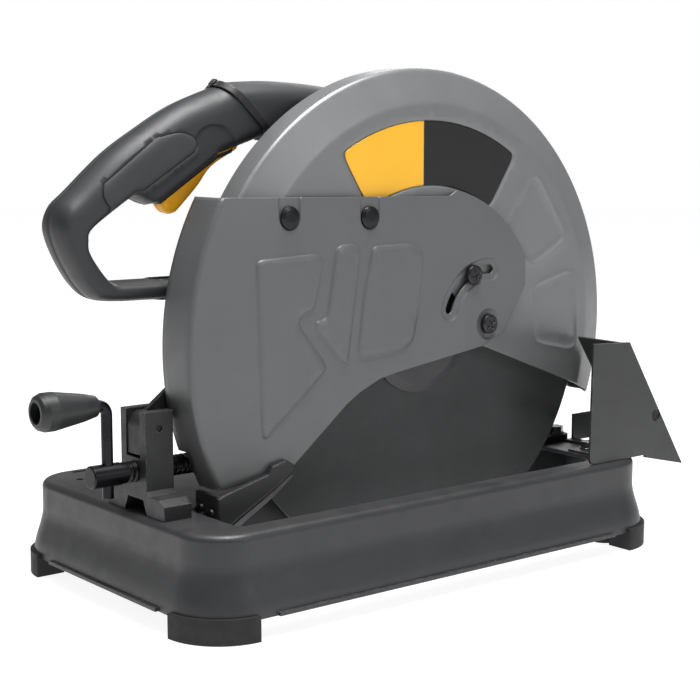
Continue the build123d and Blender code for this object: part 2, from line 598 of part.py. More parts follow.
with BuildPart() as spindle_bearings:
    for x0, x1, bore, outer in ((-12, -4, SHAFT_TAIL_R, 14), (14, 26, SHAFT_R, 21)):
        width = (outer - bore) * 0.28
        turned_x([(x0, bore), (x0, bore + width), (x0 + 1, bore + width),
                  (x0 + 1, outer - width), (x0, outer - width), (x0, outer), (x1, outer),
                  (x1, outer - width), (x1 - 1, outer - width), (x1 - 1, bore + width),
                  (x1, bore + width), (x1, bore)], ARBOR)
spindle_bearings.part.label = "spindle_bearings"

with BuildPart() as inner_flange:
    turned_x([(38, SHAFT_R), (38, 26), (41, 30), (41, FLANGE_R - 4), (41, FLANGE_R),
              (WHEEL_X - WHEEL_T / 2, FLANGE_R), (WHEEL_X - WHEEL_T / 2, 36),
              (WHEEL_X - WHEEL_T / 2 - 1, 34), (WHEEL_X - WHEEL_T / 2 - 1, WHEEL_BORE - 0.05),
              (WHEEL_X + WHEEL_T / 2 - 0.4, WHEEL_BORE - 0.05),
              (WHEEL_X + WHEEL_T / 2 - 0.4, SHAFT_R)], ARBOR)
inner_flange.part.label = "inner_flange"

with BuildPart() as cutting_wheel:
    rod_x(WHEEL_X - WHEEL_T / 2, WHEEL_X + WHEEL_T / 2, ARBOR, WHEEL_R)
    rod_x(WHEEL_X - 3, WHEEL_X + 3, ARBOR, WHEEL_BORE, mode=Mode.SUBTRACT)
cutting_wheel.part.label = "cutting_wheel"

with BuildPart() as outer_flange:
    face = WHEEL_X + WHEEL_T / 2
    turned_x([(face, 36), (face, FLANGE_R), (face + 2, FLANGE_R), (face + 4.5, 40),
              (face + 4.5, 5.2), (face + 1, 5.2), (face + 1, 34)], ARBOR)
outer_flange.part.label = "outer_flange"

with BuildPart() as arbor_bolt:
    rod_x(24, 53, ARBOR, 5.0)
    rod_x(52, 53, ARBOR, 11)
    hex_x(53, 58, ARBOR, 17)
    chamfer(arbor_bolt.faces().sort_by(Axis.X)[-1].edges(), 0.6)
arbor_bolt.part.label = "arbor_bolt"

# --------------------------------------------------------------------- motor
with BuildPart() as motor_shaft:
    plate_yz(gear_outline(PINION_TEETH, MOTOR, MOTOR_ANGLE + 180, 0.85, 1.15), -3.2, 9.2)
    rod_x(-156, -3.2, MOTOR, 5.0)
    rod_x(9.1, 13, MOTOR, 4.5)
motor_shaft.part.label = "motor_shaft"

with BuildPart() as motor_bearings:
    for x0, x1, outer in ((-14, -7, 13), (-152.8, -145.8, 13)):
        turned_x([(x0, 5 + FIT), (x0, 7), (x0 + 0.8, 7), (x0 + 0.8, 11), (x0, 11), (x0, outer),
                  (x1, outer), (x1, 11), (x1 - 0.8, 11), (x1 - 0.8, 7), (x1, 7), (x1, 5 + FIT)], MOTOR)
motor_bearings.part.label = "motor_bearings"

with BuildPart() as armature_core:
    turned_x([(-145, 5), (-145, 14), (-130, 14), (-128, 11), (-124, 11), (-116, 21), (-105, 23),
              (-105, 25.5), (-48, 25.5), (-48, 23), (-40, 20), (-38, 9), (-38, 5)], MOTOR)
    for i in range(12):             # winding slots
        with Locations(Location((-76.5, *polar(MOTOR, 25.5, 30 * i)), (30 * i, 0, 0))):
            Box(57, 1.6, 6, mode=Mode.SUBTRACT)
armature_core.part.label = "armature_core"

with BuildPart() as stator:
    turned_x([(-105, 26.5), (-105, MOTOR_R - MOTOR_T), (-48, MOTOR_R - MOTOR_T), (-48, 26.5)],
             MOTOR)
    for i in (0, 90, 180, 270):     # winding pockets
        with Locations(Location((-76.5, *polar(MOTOR, 32, i + 45)), (i + 45, 0, 0))):
            Box(60, 16, 9, mode=Mode.SUBTRACT)
stator.part.label = "stator"

with BuildPart() as cooling_fan:
    turned_x([(-34, 5), (-34, 10), (-26, 11), (-26, 44), (-24, 44), (-24, 5)], MOTOR)
    for i in range(14):
        with Locations(Location((-30, *polar(MOTOR, 31, i * 360 / 14)), (i * 360 / 14, 0, 0))):
            Box(9, 26, 1.6)
cooling_fan.part.label = "cooling_fan"

with BuildPart() as motor_housing:
    turned_x([(MOTOR_X[0], MOTOR_R - MOTOR_T), (MOTOR_X[0], HOUSING_R), (-20, HOUSING_R),
              (-22, MOTOR_R), (MOTOR_X[1], MOTOR_R), (MOTOR_X[1], MOTOR_R - MOTOR_T)], MOTOR)
    for i in range(24):             # air outlets round the fan, clear of the top screw bosses
        with Locations(Location((-31, *polar(MOTOR, MOTOR_R - 1, 15 * i)), (15 * i, 0, 0))):
            Box(12, 8, 5, mode=Mode.SUBTRACT)
    for i in range(8):              # cooling ribs along the barrel
        with Locations(Location((-84, *polar(MOTOR, MOTOR_R + 0.3, 45 * i + 22.5)),
                                (45 * i + 22.5, 0, 0))):
            Box(70, 1.6, 5)
motor_housing.part.label = "motor_housing"

with BuildPart() as motor_end_cap:
    turned_x([(MOTOR_X[1], 0), (MOTOR_X[1], MOTOR_R), (-146, MOTOR_R - 1), (-154, MOTOR_R - 7),
              (CAP_END_X - 3, MOTOR_R - 18), (CAP_END_X - 3, 0)], MOTOR)
    turned_x([(MOTOR_X[1] + 1, 0), (MOTOR_X[1] + 1, MOTOR_R - 3), (-145, MOTOR_R - 4),
              (-152, MOTOR_R - 10), (-153, MOTOR_R - 20), (-153, 0)], MOTOR, mode=Mode.SUBTRACT)
    turned_x([(-154, 13), (-154, 17), (-145.8, 17), (-145.8, 13)], MOTOR)
    rod_x(-157, -152, MOTOR, 8, mode=Mode.SUBTRACT)
    turned_x([(-159, 0), (-159, 14), (-156.5, 14), (-156.5, 0)], MOTOR)
    for i in range(12):             # air inlets
        with Locations(Location((-156, *polar(MOTOR, 28, 30 * i)), (30 * i, 0, 0))):
            Box(10, 14, 4, mode=Mode.SUBTRACT)
    for side in (-1, 1):            # brush holders
        z = MOTOR[1] + side * 40
        rod_z(*sorted((z - 14 * side, z + 16 * side)), (-136, MOTOR[0]), 10)
        rod_z(*sorted((z - 20 * side, z + 20 * side)), (-136, MOTOR[0]), 7.55, mode=Mode.SUBTRACT)
    rod_y(MOTOR[0] + 45, MOTOR[0] + 58, (-138, MOTOR[1]), 11)
    rod_y(MOTOR[0] + 40, MOTOR[0] + 60, (-138, MOTOR[1]), 7.0, mode=Mode.SUBTRACT)
motor_end_cap.part.label = "motor_end_cap"

with BuildPart() as brush_caps:
    for side in (-1, 1):
        z = MOTOR[1] + side * 56
        rod_z(*sorted((z - 9 * side, z + 1 * side)), (-136, MOTOR[0]), 7.5)
        rod_z(*sorted((z, z + 2 * side)), (-136, MOTOR[0]), 9)
        block((-143, -129), (MOTOR[0] - 1, MOTOR[0] + 1), sorted((z + side, z + 3 * side)),
              mode=Mode.SUBTRACT)
brush_caps.part.label = "brush_caps"

with BuildPart() as cord_inlet:
    y = MOTOR[0] + 58
    turned_y([(y - 12, 3.6), (y - 12, 6.95), (y, 6.95), (y, 10), (y + 4, 10), (y + 6, 8),
              (y + 38, 5.6), (y + 38, 3.6)], (-138, MOTOR[1]))
    for i in range(6):
        turned_y([(y + 9 + i * 4.6, 6.2), (y + 9 + i * 4.6, 11), (y + 10.6 + i * 4.6, 11),
                  (y + 10.6 + i * 4.6, 6.2)], (-138, MOTOR[1]), mode=Mode.SUBTRACT)
cord_inlet.part.label = "cord_inlet"

with BuildPart() as spindle_lock:
    rod_x(-30, -6, LOCK_BUTTON, 3.5)
    rod_x(-33, -26, LOCK_BUTTON, 7)
    chamfer(spindle_lock.faces().sort_by(Axis.X)[0].edges(), 1)
spindle_lock.part.label = "spindle_lock"

# --------------------------------------------------------------- upper guard
GUARD_OUTLINE = [(300, 400), (-240, 400), (-240, 236), (-20, 174), (60, 168), (88, 166),
                 (180, 131), (222, 115), (300, 110)]
LABEL_ANGLES, LABEL_RADII, LABEL_SPLIT = (56.6, 121.5), (116.0, 162.0), 24.8
PAD_HIGH = [(140, 297), (146, 297.5), (178.6, 250.5), (175, 244), (144.5, 227.5), (135.5, 230),
            (111.5, 259.5), (113.5, 267.5)]
PAD_LOW = [(142.5, 210), (183, 220), (191.5, 213), (194.5, 159), (186, 155.5), (152, 163),
           (145, 167)]

with BuildPart() as fixed_guard:
    x0, x1, x2 = GUARD_X
    turned_x([(x0, 0), (x0, GUARD_R), (x1, GUARD_R), (x2, GUARD_FACE_R), (x2, 0)], ARBOR)
    plate_yz(GUARD_OUTLINE, x0 - 1, x2 + 1, mode=Mode.INTERSECT)
    turned_x([(x0 + GUARD_T, 0), (x0 + GUARD_T, GUARD_R - GUARD_T), (x1 - 1, GUARD_R - GUARD_T),
              (x2 - GUARD_T, GUARD_FACE_R - 1.6), (x2 - GUARD_T, 0)], ARBOR, mode=Mode.SUBTRACT)
    rod_x(x0 - 1, x0 + 4, ARBOR, 45, mode=Mode.SUBTRACT)         # gear housing's nose
    rod_x(x2 - 6, x2 + 1, ARBOR, 38, mode=Mode.SUBTRACT)         # access to the arbor bolt
    for centre in HOUSING_SCREWS[:3]:
        rod_x(x0 - 1, x0 + 4, centre, 2.5, mode=Mode.SUBTRACT)
    # shallow pockets pressed in the face
    pocket = x2 - 0.8
    plate_yz(sector(ARBOR, LABEL_RADII[0] - 1, LABEL_RADII[1] + 1,
                    LABEL_ANGLES[0] - 0.6, LABEL_ANGLES[1] + 0.6), pocket, x2 + 1,
             mode=Mode.SUBTRACT)
    for pad in (PAD_HIGH, PAD_LOW):
        plate_yz(pad, pocket, x2 + 1, radius=3, mode=Mode.SUBTRACT)
    # bosses for the two shoulder screws the front guard hangs on
    slot_screw = polar(PIVOT, SLOT_R, SLOT_SCREW_ANGLE)
    for centre in (PIVOT, slot_screw):
        rod_x(x2 - 8, x2, centre, 7)
        rod_x(x2 - 9, x2 + 1, centre, 2.6, mode=Mode.SUBTRACT)
fixed_guard.part.label = "fixed_guard"


def label_plate(low, high):
    with BuildPart() as plate:
        plate_yz(sector(ARBOR, LABEL_RADII[0], LABEL_RADII[1], *LABEL_ANGLES),
                 GUARD_X[2] - 0.8, GUARD_X[2] - 0.2)
        plate_yz([(low, 200), (high, 200), (high, 400), (low, 400)], GUARD_X[2] - 2,
                 GUARD_X[2] + 1, mode=Mode.INTERSECT)
    return plate


label_yellow = label_plate(-100, LABEL_SPLIT)
label_black = label_plate(LABEL_SPLIT, 200)
label_yellow.part.label = "label_yellow"
label_black.part.label = "label_black"

# --------------------------------------------------------------- front guard
COVER_OUTLINE = ([(-240, 288.5), (-148, 288.5), (46, 285)]
                 + [polar(ARBOR, 110.5, 78 - 7 * i) for i in range(8)]
                 + [(128, 212), (104, 176), (82.5, 167), (-3, 155), (-22, 151.5), (-41, 143.5),
                    (-54, 135.5), (-77, 117), (-102.5, 96.5), (-166, 84), (-240, 84)])
EMBOSS_LEFT = [(-134, 245), (-82, 247.5), (-75, 243.5), (-83, 208), (-95.5, 204), (-98.5, 198.5),
               (-74, 167.5), (-73, 163), (-129, 116.5), (-131, 130)]
EMBOSS_ARROW = [(-64, 252), (-49.5, 253.5), (-41, 249.5), (-53, 165.5), (-57, 165), (-84, 195),
                (-82, 199.5), (-73, 199.5)]
EMBOSS_RIGHT = [(-30.5, 250.5), (6, 251), (20, 244), (14.5, 197), (10, 177), (-1, 170.5),
                (-40.5, 168), (-44.5, 172), (-39, 214.5)]
RIVETS = [(-104.5, 273.5), (-32, 271.5)]

with BuildPart() as front_guard:
    x0, x1, x2 = COVER_X
    turned_x([(x0, 0), (x0, COVER_R), (x1, COVER_R), (x2, COVER_FACE_R), (x2, 0)], ARBOR)
    plate_yz(COVER_OUTLINE, x0 - 1, x2 + 1, mode=Mode.INTERSECT)
    turned_x([(x0 - 1, 0), (x0 - 1, COVER_R - COVER_T), (x1 - 0.8, COVER_R - COVER_T),
              (x2 - COVER_T, COVER_FACE_R - 0.8), (x2 - COVER_T, 0)], ARBOR, mode=Mode.SUBTRACT)
    # the wall's low corner clears the vise screw
    plate_yz([(-220, 60), (-120, 60), (-120, 108.8), (-220, 109.6)], x0 - 1, COVER_EDGE_X,
             mode=Mode.SUBTRACT)
    # raised panels
    for outline in (EMBOSS_LEFT, EMBOSS_ARROW, EMBOSS_RIGHT):
        plate_yz(outline, x2 - 1, x2 + 0.9, radius=2.5)
    # recesses for the rivets, open at the top edge
    for y, z in RIVETS:
        block((x2 - 0.9, x2 + 2), (y - 9.5, y + 9.5), (z, 300), mode=Mode.SUBTRACT)
        rod_x(x2 - 0.9, x2 + 2, (y, z), 9.5, mode=Mode.SUBTRACT)
        rod_x(x2 - 4, x2 + 1, (y, z), 3.0, mode=Mode.SUBTRACT)
    # dimples and holes for the pivot screw and the arc slot
    rod_x(x2 - 0.9, x2 + 1, PIVOT, 11.5, mode=Mode.SUBTRACT)
    rod_x(x2 - 5, x2 + 1, PIVOT, SHOULDER_R + FIT, mode=Mode.SUBTRACT)
    arc_band(x2 - 0.9, x2 + 1, PIVOT, SLOT_R, 19, SLOT_FROM, SLOT_TO)
    arc_band(x2 - 5, x2 + 1, PIVOT, SLOT_R, SLOT_W, SLOT_FROM, SLOT_TO)
    # small pull tab on the wall
    tab = polar(ARBOR, COVER_R - 1, 156)
    plate_yz([(tab[0] + 1, tab[1] - 5), (tab[0] + 4, tab[1] + 5), (tab[0] - 1, tab[1] + 6),
              (tab[0] - 4.5, tab[1] - 6)], x0, x0 + 4)
    # rivet holes for the shoe
    for y, z in ((-137, 88), (-120, 92.5)):
        rod_x(x2 - 4, x2 + 1, (y, z), 2.0, mode=Mode.SUBTRACT)
front_guard.part.label = "front_guard"

SHOE_SIDE = [(-170.5, 62), (-170.5, 82), (-166, 84.5), (-128, 94), (-124, 99.5), (-112, 102.5),
             (-105, 98), (-106, 93), (-122, 82), (-151, 66), (-164, 58)]
with BuildPart() as guard_shoe:
    x2 = COVER_X[2]
    plate_yz(SHOE_SIDE, x2 + 0.02, x2 + 3.5, radius=1)
    # front plate under the wall, and a low flange turned in towards the wheel
    plate_yz([(-170.5, 62), (-170.5, 83.8), (-167, 83.8), (-167, 62)], 42.5, x2 + 2)
    plate_yz([(-170.5, 62), (-164, 58), (-151, 66), (-122, 82), (-106, 93), (-108, 94.4),
              (-123.5, 84), (-152, 68.3), (-163, 62), (-167, 64.5)], GUARD_X[2] + 0.7, x2 + 2)
guard_shoe.part.label = "guard_shoe"

with BuildPart() as guard_rivets:
    for y, z in RIVETS:
        rod_x(COVER_X[2] - 3.6, COVER_X[2] - 0.6, (y, z), 2.95)
        turned_x([(COVER_X[2] - 0.9, 0), (COVER_X[2] - 0.9, 8.2), (COVER_X[2] + 0.4, 8.0),
                  (COVER_X[2] + 2.0, 5.8), (COVER_X[2] + 2.4, 3), (COVER_X[2] + 2.4, 0)], (y, z))
guard_rivets.part.label = "guard_rivets"

with BuildPart() as shoe_bolts:
    for x, z in ((48.5, 71.5), (61.5, 69.5)):
        turned_y([(-173.4, 0), (-173.2, 2.6), (-172.2, 4.4), (-170.5, 5.0), (-170.5, 0)], (x, z))
shoe_bolts.part.label = "shoe_bolts"

with BuildPart() as guard_screws:
    x2 = COVER_X[2]
    for centre, turn in ((PIVOT, 35), (slot_screw, 20)):
        rod_x(GUARD_X[2] - 7, GUARD_X[2] + 0.5, centre, 2.55)
        rod_x(GUARD_X[2], x2 - 0.2, centre, SHOULDER_R)
        turned_x([(x2 - 0.2, 0), (x2 - 0.2, 7.8), (x2 + 2.4, 7.4), (x2 + 3.4, 6), (x2 + 3.4, 0)],
                 centre)
        for arm in (turn, turn + 90):
            with Locations(Location((x2 + 3.6, *centre), (arm, 0, 0))):
                Box(2.4, 9, 1.7, mode=Mode.SUBTRACT)
guard_screws.part.label = "guard_screws"

# -------------------------------------------------------------------- handle
def handle_outline(x):
    """Side view of the loop handle: grip, front bulb and lower bar."""
    with BuildSketch(Plane.YZ.offset(x)) as outline:
        with BuildLine():
            Spline((-122.5, 365.5), (-157, 352.5), (-185, 337), (-213, 319), (-240, 295.5),
                   (-252, 284.5), (-256, 273), (-254.5, 261), (-247, 243.5), (-237, 228),
                   (-225.5, 218.5), (-205, 216))
            Line((-205, 216), (-52, 213.5))
            Line((-52, 213.5), (-52, 229.5))
            Line((-52, 229.5), (-213, 230.5))
            Spline((-213, 230.5), (-220, 235), (-231, 251), (-232.5, 260), (-229, 268))
            Line((-229, 268), (-196, 288.5))
            Line((-196, 288.5), (-181, 282.3))
            Line((-181, 282.3), (-176, 284.2))
            Line((-176, 284.2), (-126, 316.5))
            Line((-126, 316.5), (-86, 329))
            Line((-86, 329), (-122.5, 365.5))
        make_face()
    return outline.sketch


def handle_cavity(x):
    """The same view, a wall thickness inside."""
    with BuildSketch(Plane.YZ.offset(x)) as outline:
        with BuildLine():
            Spline((-122.5, 361.5), (-156, 349), (-184, 333.5), (-211, 315.8), (-237.5, 293),
                   (-248.6, 282), (-252.4, 272.5), (-251, 262), (-244, 245.5), (-234.5, 231),
                   (-224, 221.8), (-204, 219.2))
            Polyline((-204, 219.2), (-50, 216.6), (-50, 226.6), (-211.5, 227.4), (-222.5, 233),
                     (-234.3, 250.5), (-235.8, 260.5), (-232.3, 270), (-196, 292.3),
                     (-181.5, 286.2), (-176.8, 288), (-128, 318.8), (-84, 332.5), (-100, 350),
                     (-122.5, 361.5))
        make_face()
    return outline.sketch


HANDLE_SCREWS = [(-197, 319), (-243.8, 264), (-180, 222.7)]
TRIGGER = [(-174, 282.5), (-170.5, 277.5), (-161.5, 276.5), (-151, 284.5), (-142, 293.5),
           (-132.5, 307), (-118, 316), (-104, 321.5), (-104, 332), (-113, 335), (-128, 327),
           (-150, 311.5), (-168, 297)]
TRIGGER_WELL = [(-178.5, 276), (-157, 266), (-98, 306), (-98, 334), (-108, 341), (-128, 336.5),
                (-152, 321), (-184, 303), (-183.5, 292)]
LOCK_OFF = (-150.0, 333.0)


def handle_half(side):
    x_in, x_out = HANDLE_X, HANDLE_X + side * HANDLE_HALF
    with BuildPart() as half:
        extrude(handle_outline(x_in), amount=side * HANDLE_HALF)
        outer = half.faces().sort_by(Axis.X)[-1 if side > 0 else 0]
        fillet(outer.edges(), HANDLE_ROUND)
        extrude(handle_cavity(x_in), amount=side * (HANDLE_HALF - HANDLE_T), mode=Mode.SUBTRACT)
        plate_yz(TRIGGER_WELL, *sorted((x_in - side, x_in + side * 9.8)), mode=Mode.SUBTRACT)
        for centre in HANDLE_SCREWS:
            rod_x(*sorted((x_in, x_out - side * 2)), centre, 4.5)
        rod_x(*sorted((x_in + side * 11, x_out - side * 2)), TRIGGER_PIVOT, 4.5)
        rod_x(*sorted((x_in + side * 10, x_in + side * 15.6)), TRIGGER_PIVOT, 2.5 + FIT,
              mode=Mode.SUBTRACT)
        for centre in HANDLE_SCREWS:    # driven from the left, blind on the right
            rod_x(x_in - 30, x_in + 9, centre, 2.1, mode=Mode.SUBTRACT)
            if side < 0:
                rod_x(x_out - 2, x_out + 3.5, centre, 4.2, mode=Mode.SUBTRACT)
        if side < 0:
            rod_x(x_out - 1, x_in, LOCK_OFF, 5 + FIT, mode=Mode.SUBTRACT)
    return half


handle_right = handle_half(1)
handle_left = handle_half(-1)
handle_right.part.label = "handle_right"
handle_left.part.label = "handle_left"

GRIP = [(-226, 293), (-227, 299), (-184, 329), (-177, 331.5), (-161, 334), (-152, 330.5),
        (-148, 324), (-150, 319.5), (-215, 279.5), (-220, 282)]


def grip_insert(side):
    face = HANDLE_X + side * HANDLE_HALF
    with BuildPart() as grip:
        plate_yz(GRIP, *sorted((face, face + side * 1.2)), radius=2)
        if side < 0:
            rod_x(face - 2, face + 1, HANDLE_SCREWS[0], 5.0, mode=Mode.SUBTRACT)
            rod_x(face - 2, face + 1, LOCK_OFF, 8, mode=Mode.SUBTRACT)
    return grip


grip_right = grip_insert(1)
grip_left = grip_insert(-1)
grip_right.part.label = "grip_right"
grip_left.part.label = "grip_left"

with BuildPart() as handle_screws:
    face = HANDLE_X - HANDLE_HALF
    for centre in HANDLE_SCREWS:
        rod_x(face + 3, face + 26, centre, 2.05)
        rod_x(face + 1, face + 3.5, centre, 4.1)
        with Locations(Location((face + 1, *centre), (0, 0, 0))):
            Box(1.6, 5, 1.1, mode=Mode.SUBTRACT)
            Box(1.6, 1.1, 5, mode=Mode.SUBTRACT)
handle_screws.part.label = "handle_screws"

with BuildPart() as trigger:
    plate_yz(TRIGGER, HANDLE_X - 9, HANDLE_X + 9, radius=1.2)
    rod_x(HANDLE_X - 15.5, HANDLE_X + 15.5, TRIGGER_PIVOT, 2.5)
trigger.part.label = "trigger"

with BuildPart() as switch_body:
    plate_yz([(-166, 325), (-160, 315.5), (-134, 337), (-140, 346)], HANDLE_X - 8, HANDLE_X + 8)
    rod_x(HANDLE_X - 10, HANDLE_X + 10, (-141, 340), 2)
switch_body.part.label = "switch_body"

with BuildPart() as lock_off_button:
    face = HANDLE_X - HANDLE_HALF
    rod_x(face - 5, face + 7, LOCK_OFF, 5)
    rod_x(face + 4.0, face + 7, LOCK_OFF, 6.5)
    chamfer(lock_off_button.faces().sort_by(Axis.X)[0].edges(), 0.8)
lock_off_button.part.label = "lock_off_button"

# collar between the handle and the arm, and the arm's plastic shroud
with BuildPart() as neck_collar:
    plate_yz([(-124, 367), (-84.5, 327.5), (-81, 331), (-119.5, 369.5)],
             HANDLE_X - 20.5, HANDLE_X + 20.5)
    fillet(side_edges(neck_collar), 2.0)
    plate_yz([(-140, 342.5), (-60, 342.5), (-60, 357.5), (-140, 357.5)],
             HANDLE_X - 7, HANDLE_X + 7, mode=Mode.SUBTRACT)
neck_collar.part.label = "neck_collar"

SHROUD = [(-118.7, 369.1), (-30, 368), (8, 362), (34, 345), (52, 306), (46, 296), (-40, 296),
          (-52, 318), (-80.8, 331.2)]
with BuildPart() as arm_shroud:
    plate_yz(SHROUD, HANDLE_X - 20, HANDLE_X + 20, radius=3)
    fillet(side_edges(arm_shroud), 6)
    plate_yz([(-140, 356.8), (-104, 358.2), (-30, 364.8), (6, 358.6), (30, 342), (46, 305),
              (42, 280), (-36, 280), (-49, 315), (-72, 322), (-102, 342.6), (-140, 342.6)],
             HANDLE_X - 17, HANDLE_X + 17, mode=Mode.SUBTRACT)
arm_shroud.part.label = "arm_shroud"

# ------------------------------------------------------------------- hand-in
PARTS = [base_shell, foot_front_left, foot_front_right, foot_rear_left, foot_rear_right,
         base_bolts, vise_block, lever_pin, release_lever, vise_screw, crank_rod, crank_knob,
         vise_jaw, jaw_ring, fence, fence_bolts, pivot_bracket, pivot_pin, return_spring,
         depth_stop, lock_pin, spark_deflector, swing_arm, gear_cover, housing_screws,
         spindle_gear, spindle_shaft, spindle_bearings, inner_flange, cutting_wheel,
         outer_flange, arbor_bolt, motor_shaft, motor_bearings, armature_core, stator,
         cooling_fan, motor_housing, motor_end_cap, brush_caps, cord_inlet, spindle_lock,
         fixed_guard, label_yellow, label_black, front_guard, guard_shoe, guard_rivets,
         shoe_bolts, guard_screws, handle_right, handle_left, grip_right, grip_left,
         handle_screws, trigger, switch_body, lock_off_button, neck_collar, arm_shroud]

os.makedirs("parts", exist_ok=True)
for piece in PARTS:
    placed = piece.part.moved(Location((-MIDDLE[0], -MIDDLE[1], 0)))
    placed.label = piece.part.label
    export_step(placed, f"parts/{placed.label}.step")
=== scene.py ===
import math

import bmesh
import bpy
import numpy as np
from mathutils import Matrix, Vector, geometry


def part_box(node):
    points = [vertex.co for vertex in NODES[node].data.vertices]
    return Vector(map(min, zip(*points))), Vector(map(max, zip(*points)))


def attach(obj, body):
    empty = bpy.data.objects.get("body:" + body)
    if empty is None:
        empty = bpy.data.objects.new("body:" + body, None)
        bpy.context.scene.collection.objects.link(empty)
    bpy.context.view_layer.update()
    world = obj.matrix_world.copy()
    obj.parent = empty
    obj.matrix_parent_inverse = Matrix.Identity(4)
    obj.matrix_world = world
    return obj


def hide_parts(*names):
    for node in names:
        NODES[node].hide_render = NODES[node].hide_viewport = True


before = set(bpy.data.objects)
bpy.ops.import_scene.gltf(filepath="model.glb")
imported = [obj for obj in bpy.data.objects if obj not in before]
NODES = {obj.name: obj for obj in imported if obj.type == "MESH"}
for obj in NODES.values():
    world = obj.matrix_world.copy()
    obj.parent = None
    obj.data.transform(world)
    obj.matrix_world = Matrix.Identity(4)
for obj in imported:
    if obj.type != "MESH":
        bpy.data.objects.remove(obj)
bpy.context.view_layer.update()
SCENE = bpy.context.scene
MM = 0.001
LOW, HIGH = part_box("base_shell")
MIDDLE = Vector(((LOW.x + HIGH.x) / 2, (LOW.y + HIGH.y) / 2, 0.0))     # outlines are from here

# ---------------------------------------------------------------- camera, floor and light
CAMERA_AT = Vector((0.9489, -0.7565, 0.3340))
LOOK_BACK = Vector((0.77329, -0.61857, 0.13900))      # from the object towards the camera
LENS = 80.35

camera = bpy.data.objects.new("camera", bpy.data.cameras.new("camera"))
camera.data.lens = LENS
camera.data.sensor_width = 36.0
camera.data.clip_end = 50.0
camera.location = CAMERA_AT + MIDDLE
camera.rotation_euler = LOOK_BACK.to_track_quat("Z", "Y").to_euler()
SCENE.collection.objects.link(camera)
SCENE.camera = camera


def linear(r, g, b):
    """An sRGB colour of 0 to 255, as the linear colour that shaders take."""
    def one(v):
        v /= 255
        return v / 12.92 if v <= 0.04045 else ((v + 0.055) / 1.055) ** 2.4
    return (one(r), one(g), one(b), 1.0)


def area_light(name, at, target, width, height, power, colour=(1, 1, 1)):
    """A rectangular soft box at a point, turned towards another."""
    data = bpy.data.lights.new(name, "AREA")
    data.shape, data.size, data.size_y = "RECTANGLE", width, height
    data.energy, data.color = power, colour
    lamp = bpy.data.objects.new(name, data)
    lamp.location = at
    lamp.rotation_euler = (Vector(at) - Vector(target)).to_track_quat("Z", "Y").to_euler()
    SCENE.collection.objects.link(lamp)


CENTRE = (0.0, 0.0, 0.18)
area_light("overhead", (0.25, -0.05, 1.5), CENTRE, 0.7, 0.7, 34)
area_light("left_top", (-0.6, -1.0, 1.8), CENTRE, 0.6, 0.6, 2.5)
area_light("side", (1.9, 0.6, 1.0), CENTRE, 0.8, 0.8, 5)
area_light("rear", (-1.2, 1.5, 1.3), CENTRE, 1.0, 1.0, 9)

world = bpy.data.worlds.new("studio")
world.use_nodes = True
background = world.node_tree.nodes["Background"]
background.inputs["Color"].default_value = (1.0, 1.0, 1.0, 1.0)
background.inputs["Strength"].default_value = 0.24
# the studio behind is white to look at, without lighting the object as strongly
seen = world.node_tree.nodes.new("ShaderNodeBackground")
seen.inputs["Color"].default_value = (1.0, 1.0, 1.0, 1.0)
seen.inputs["Strength"].default_value = 1.0
share = world.node_tree.nodes.new("ShaderNodeMixShader")
ray = world.node_tree.nodes.new("ShaderNodeLightPath")
world.node_tree.links.new(ray.outputs["Is Camera Ray"], share.inputs[0])
world.node_tree.links.new(background.outputs[0], share.inputs[1])
world.node_tree.links.new(seen.outputs[0], share.inputs[2])
world.node_tree.links.new(share.outputs[0], world.node_tree.nodes["World Output"].inputs["Surface"])
SCENE.world = world
SCENE.view_settings.view_transform = "Standard"
SCENE.view_settings.look = "None"


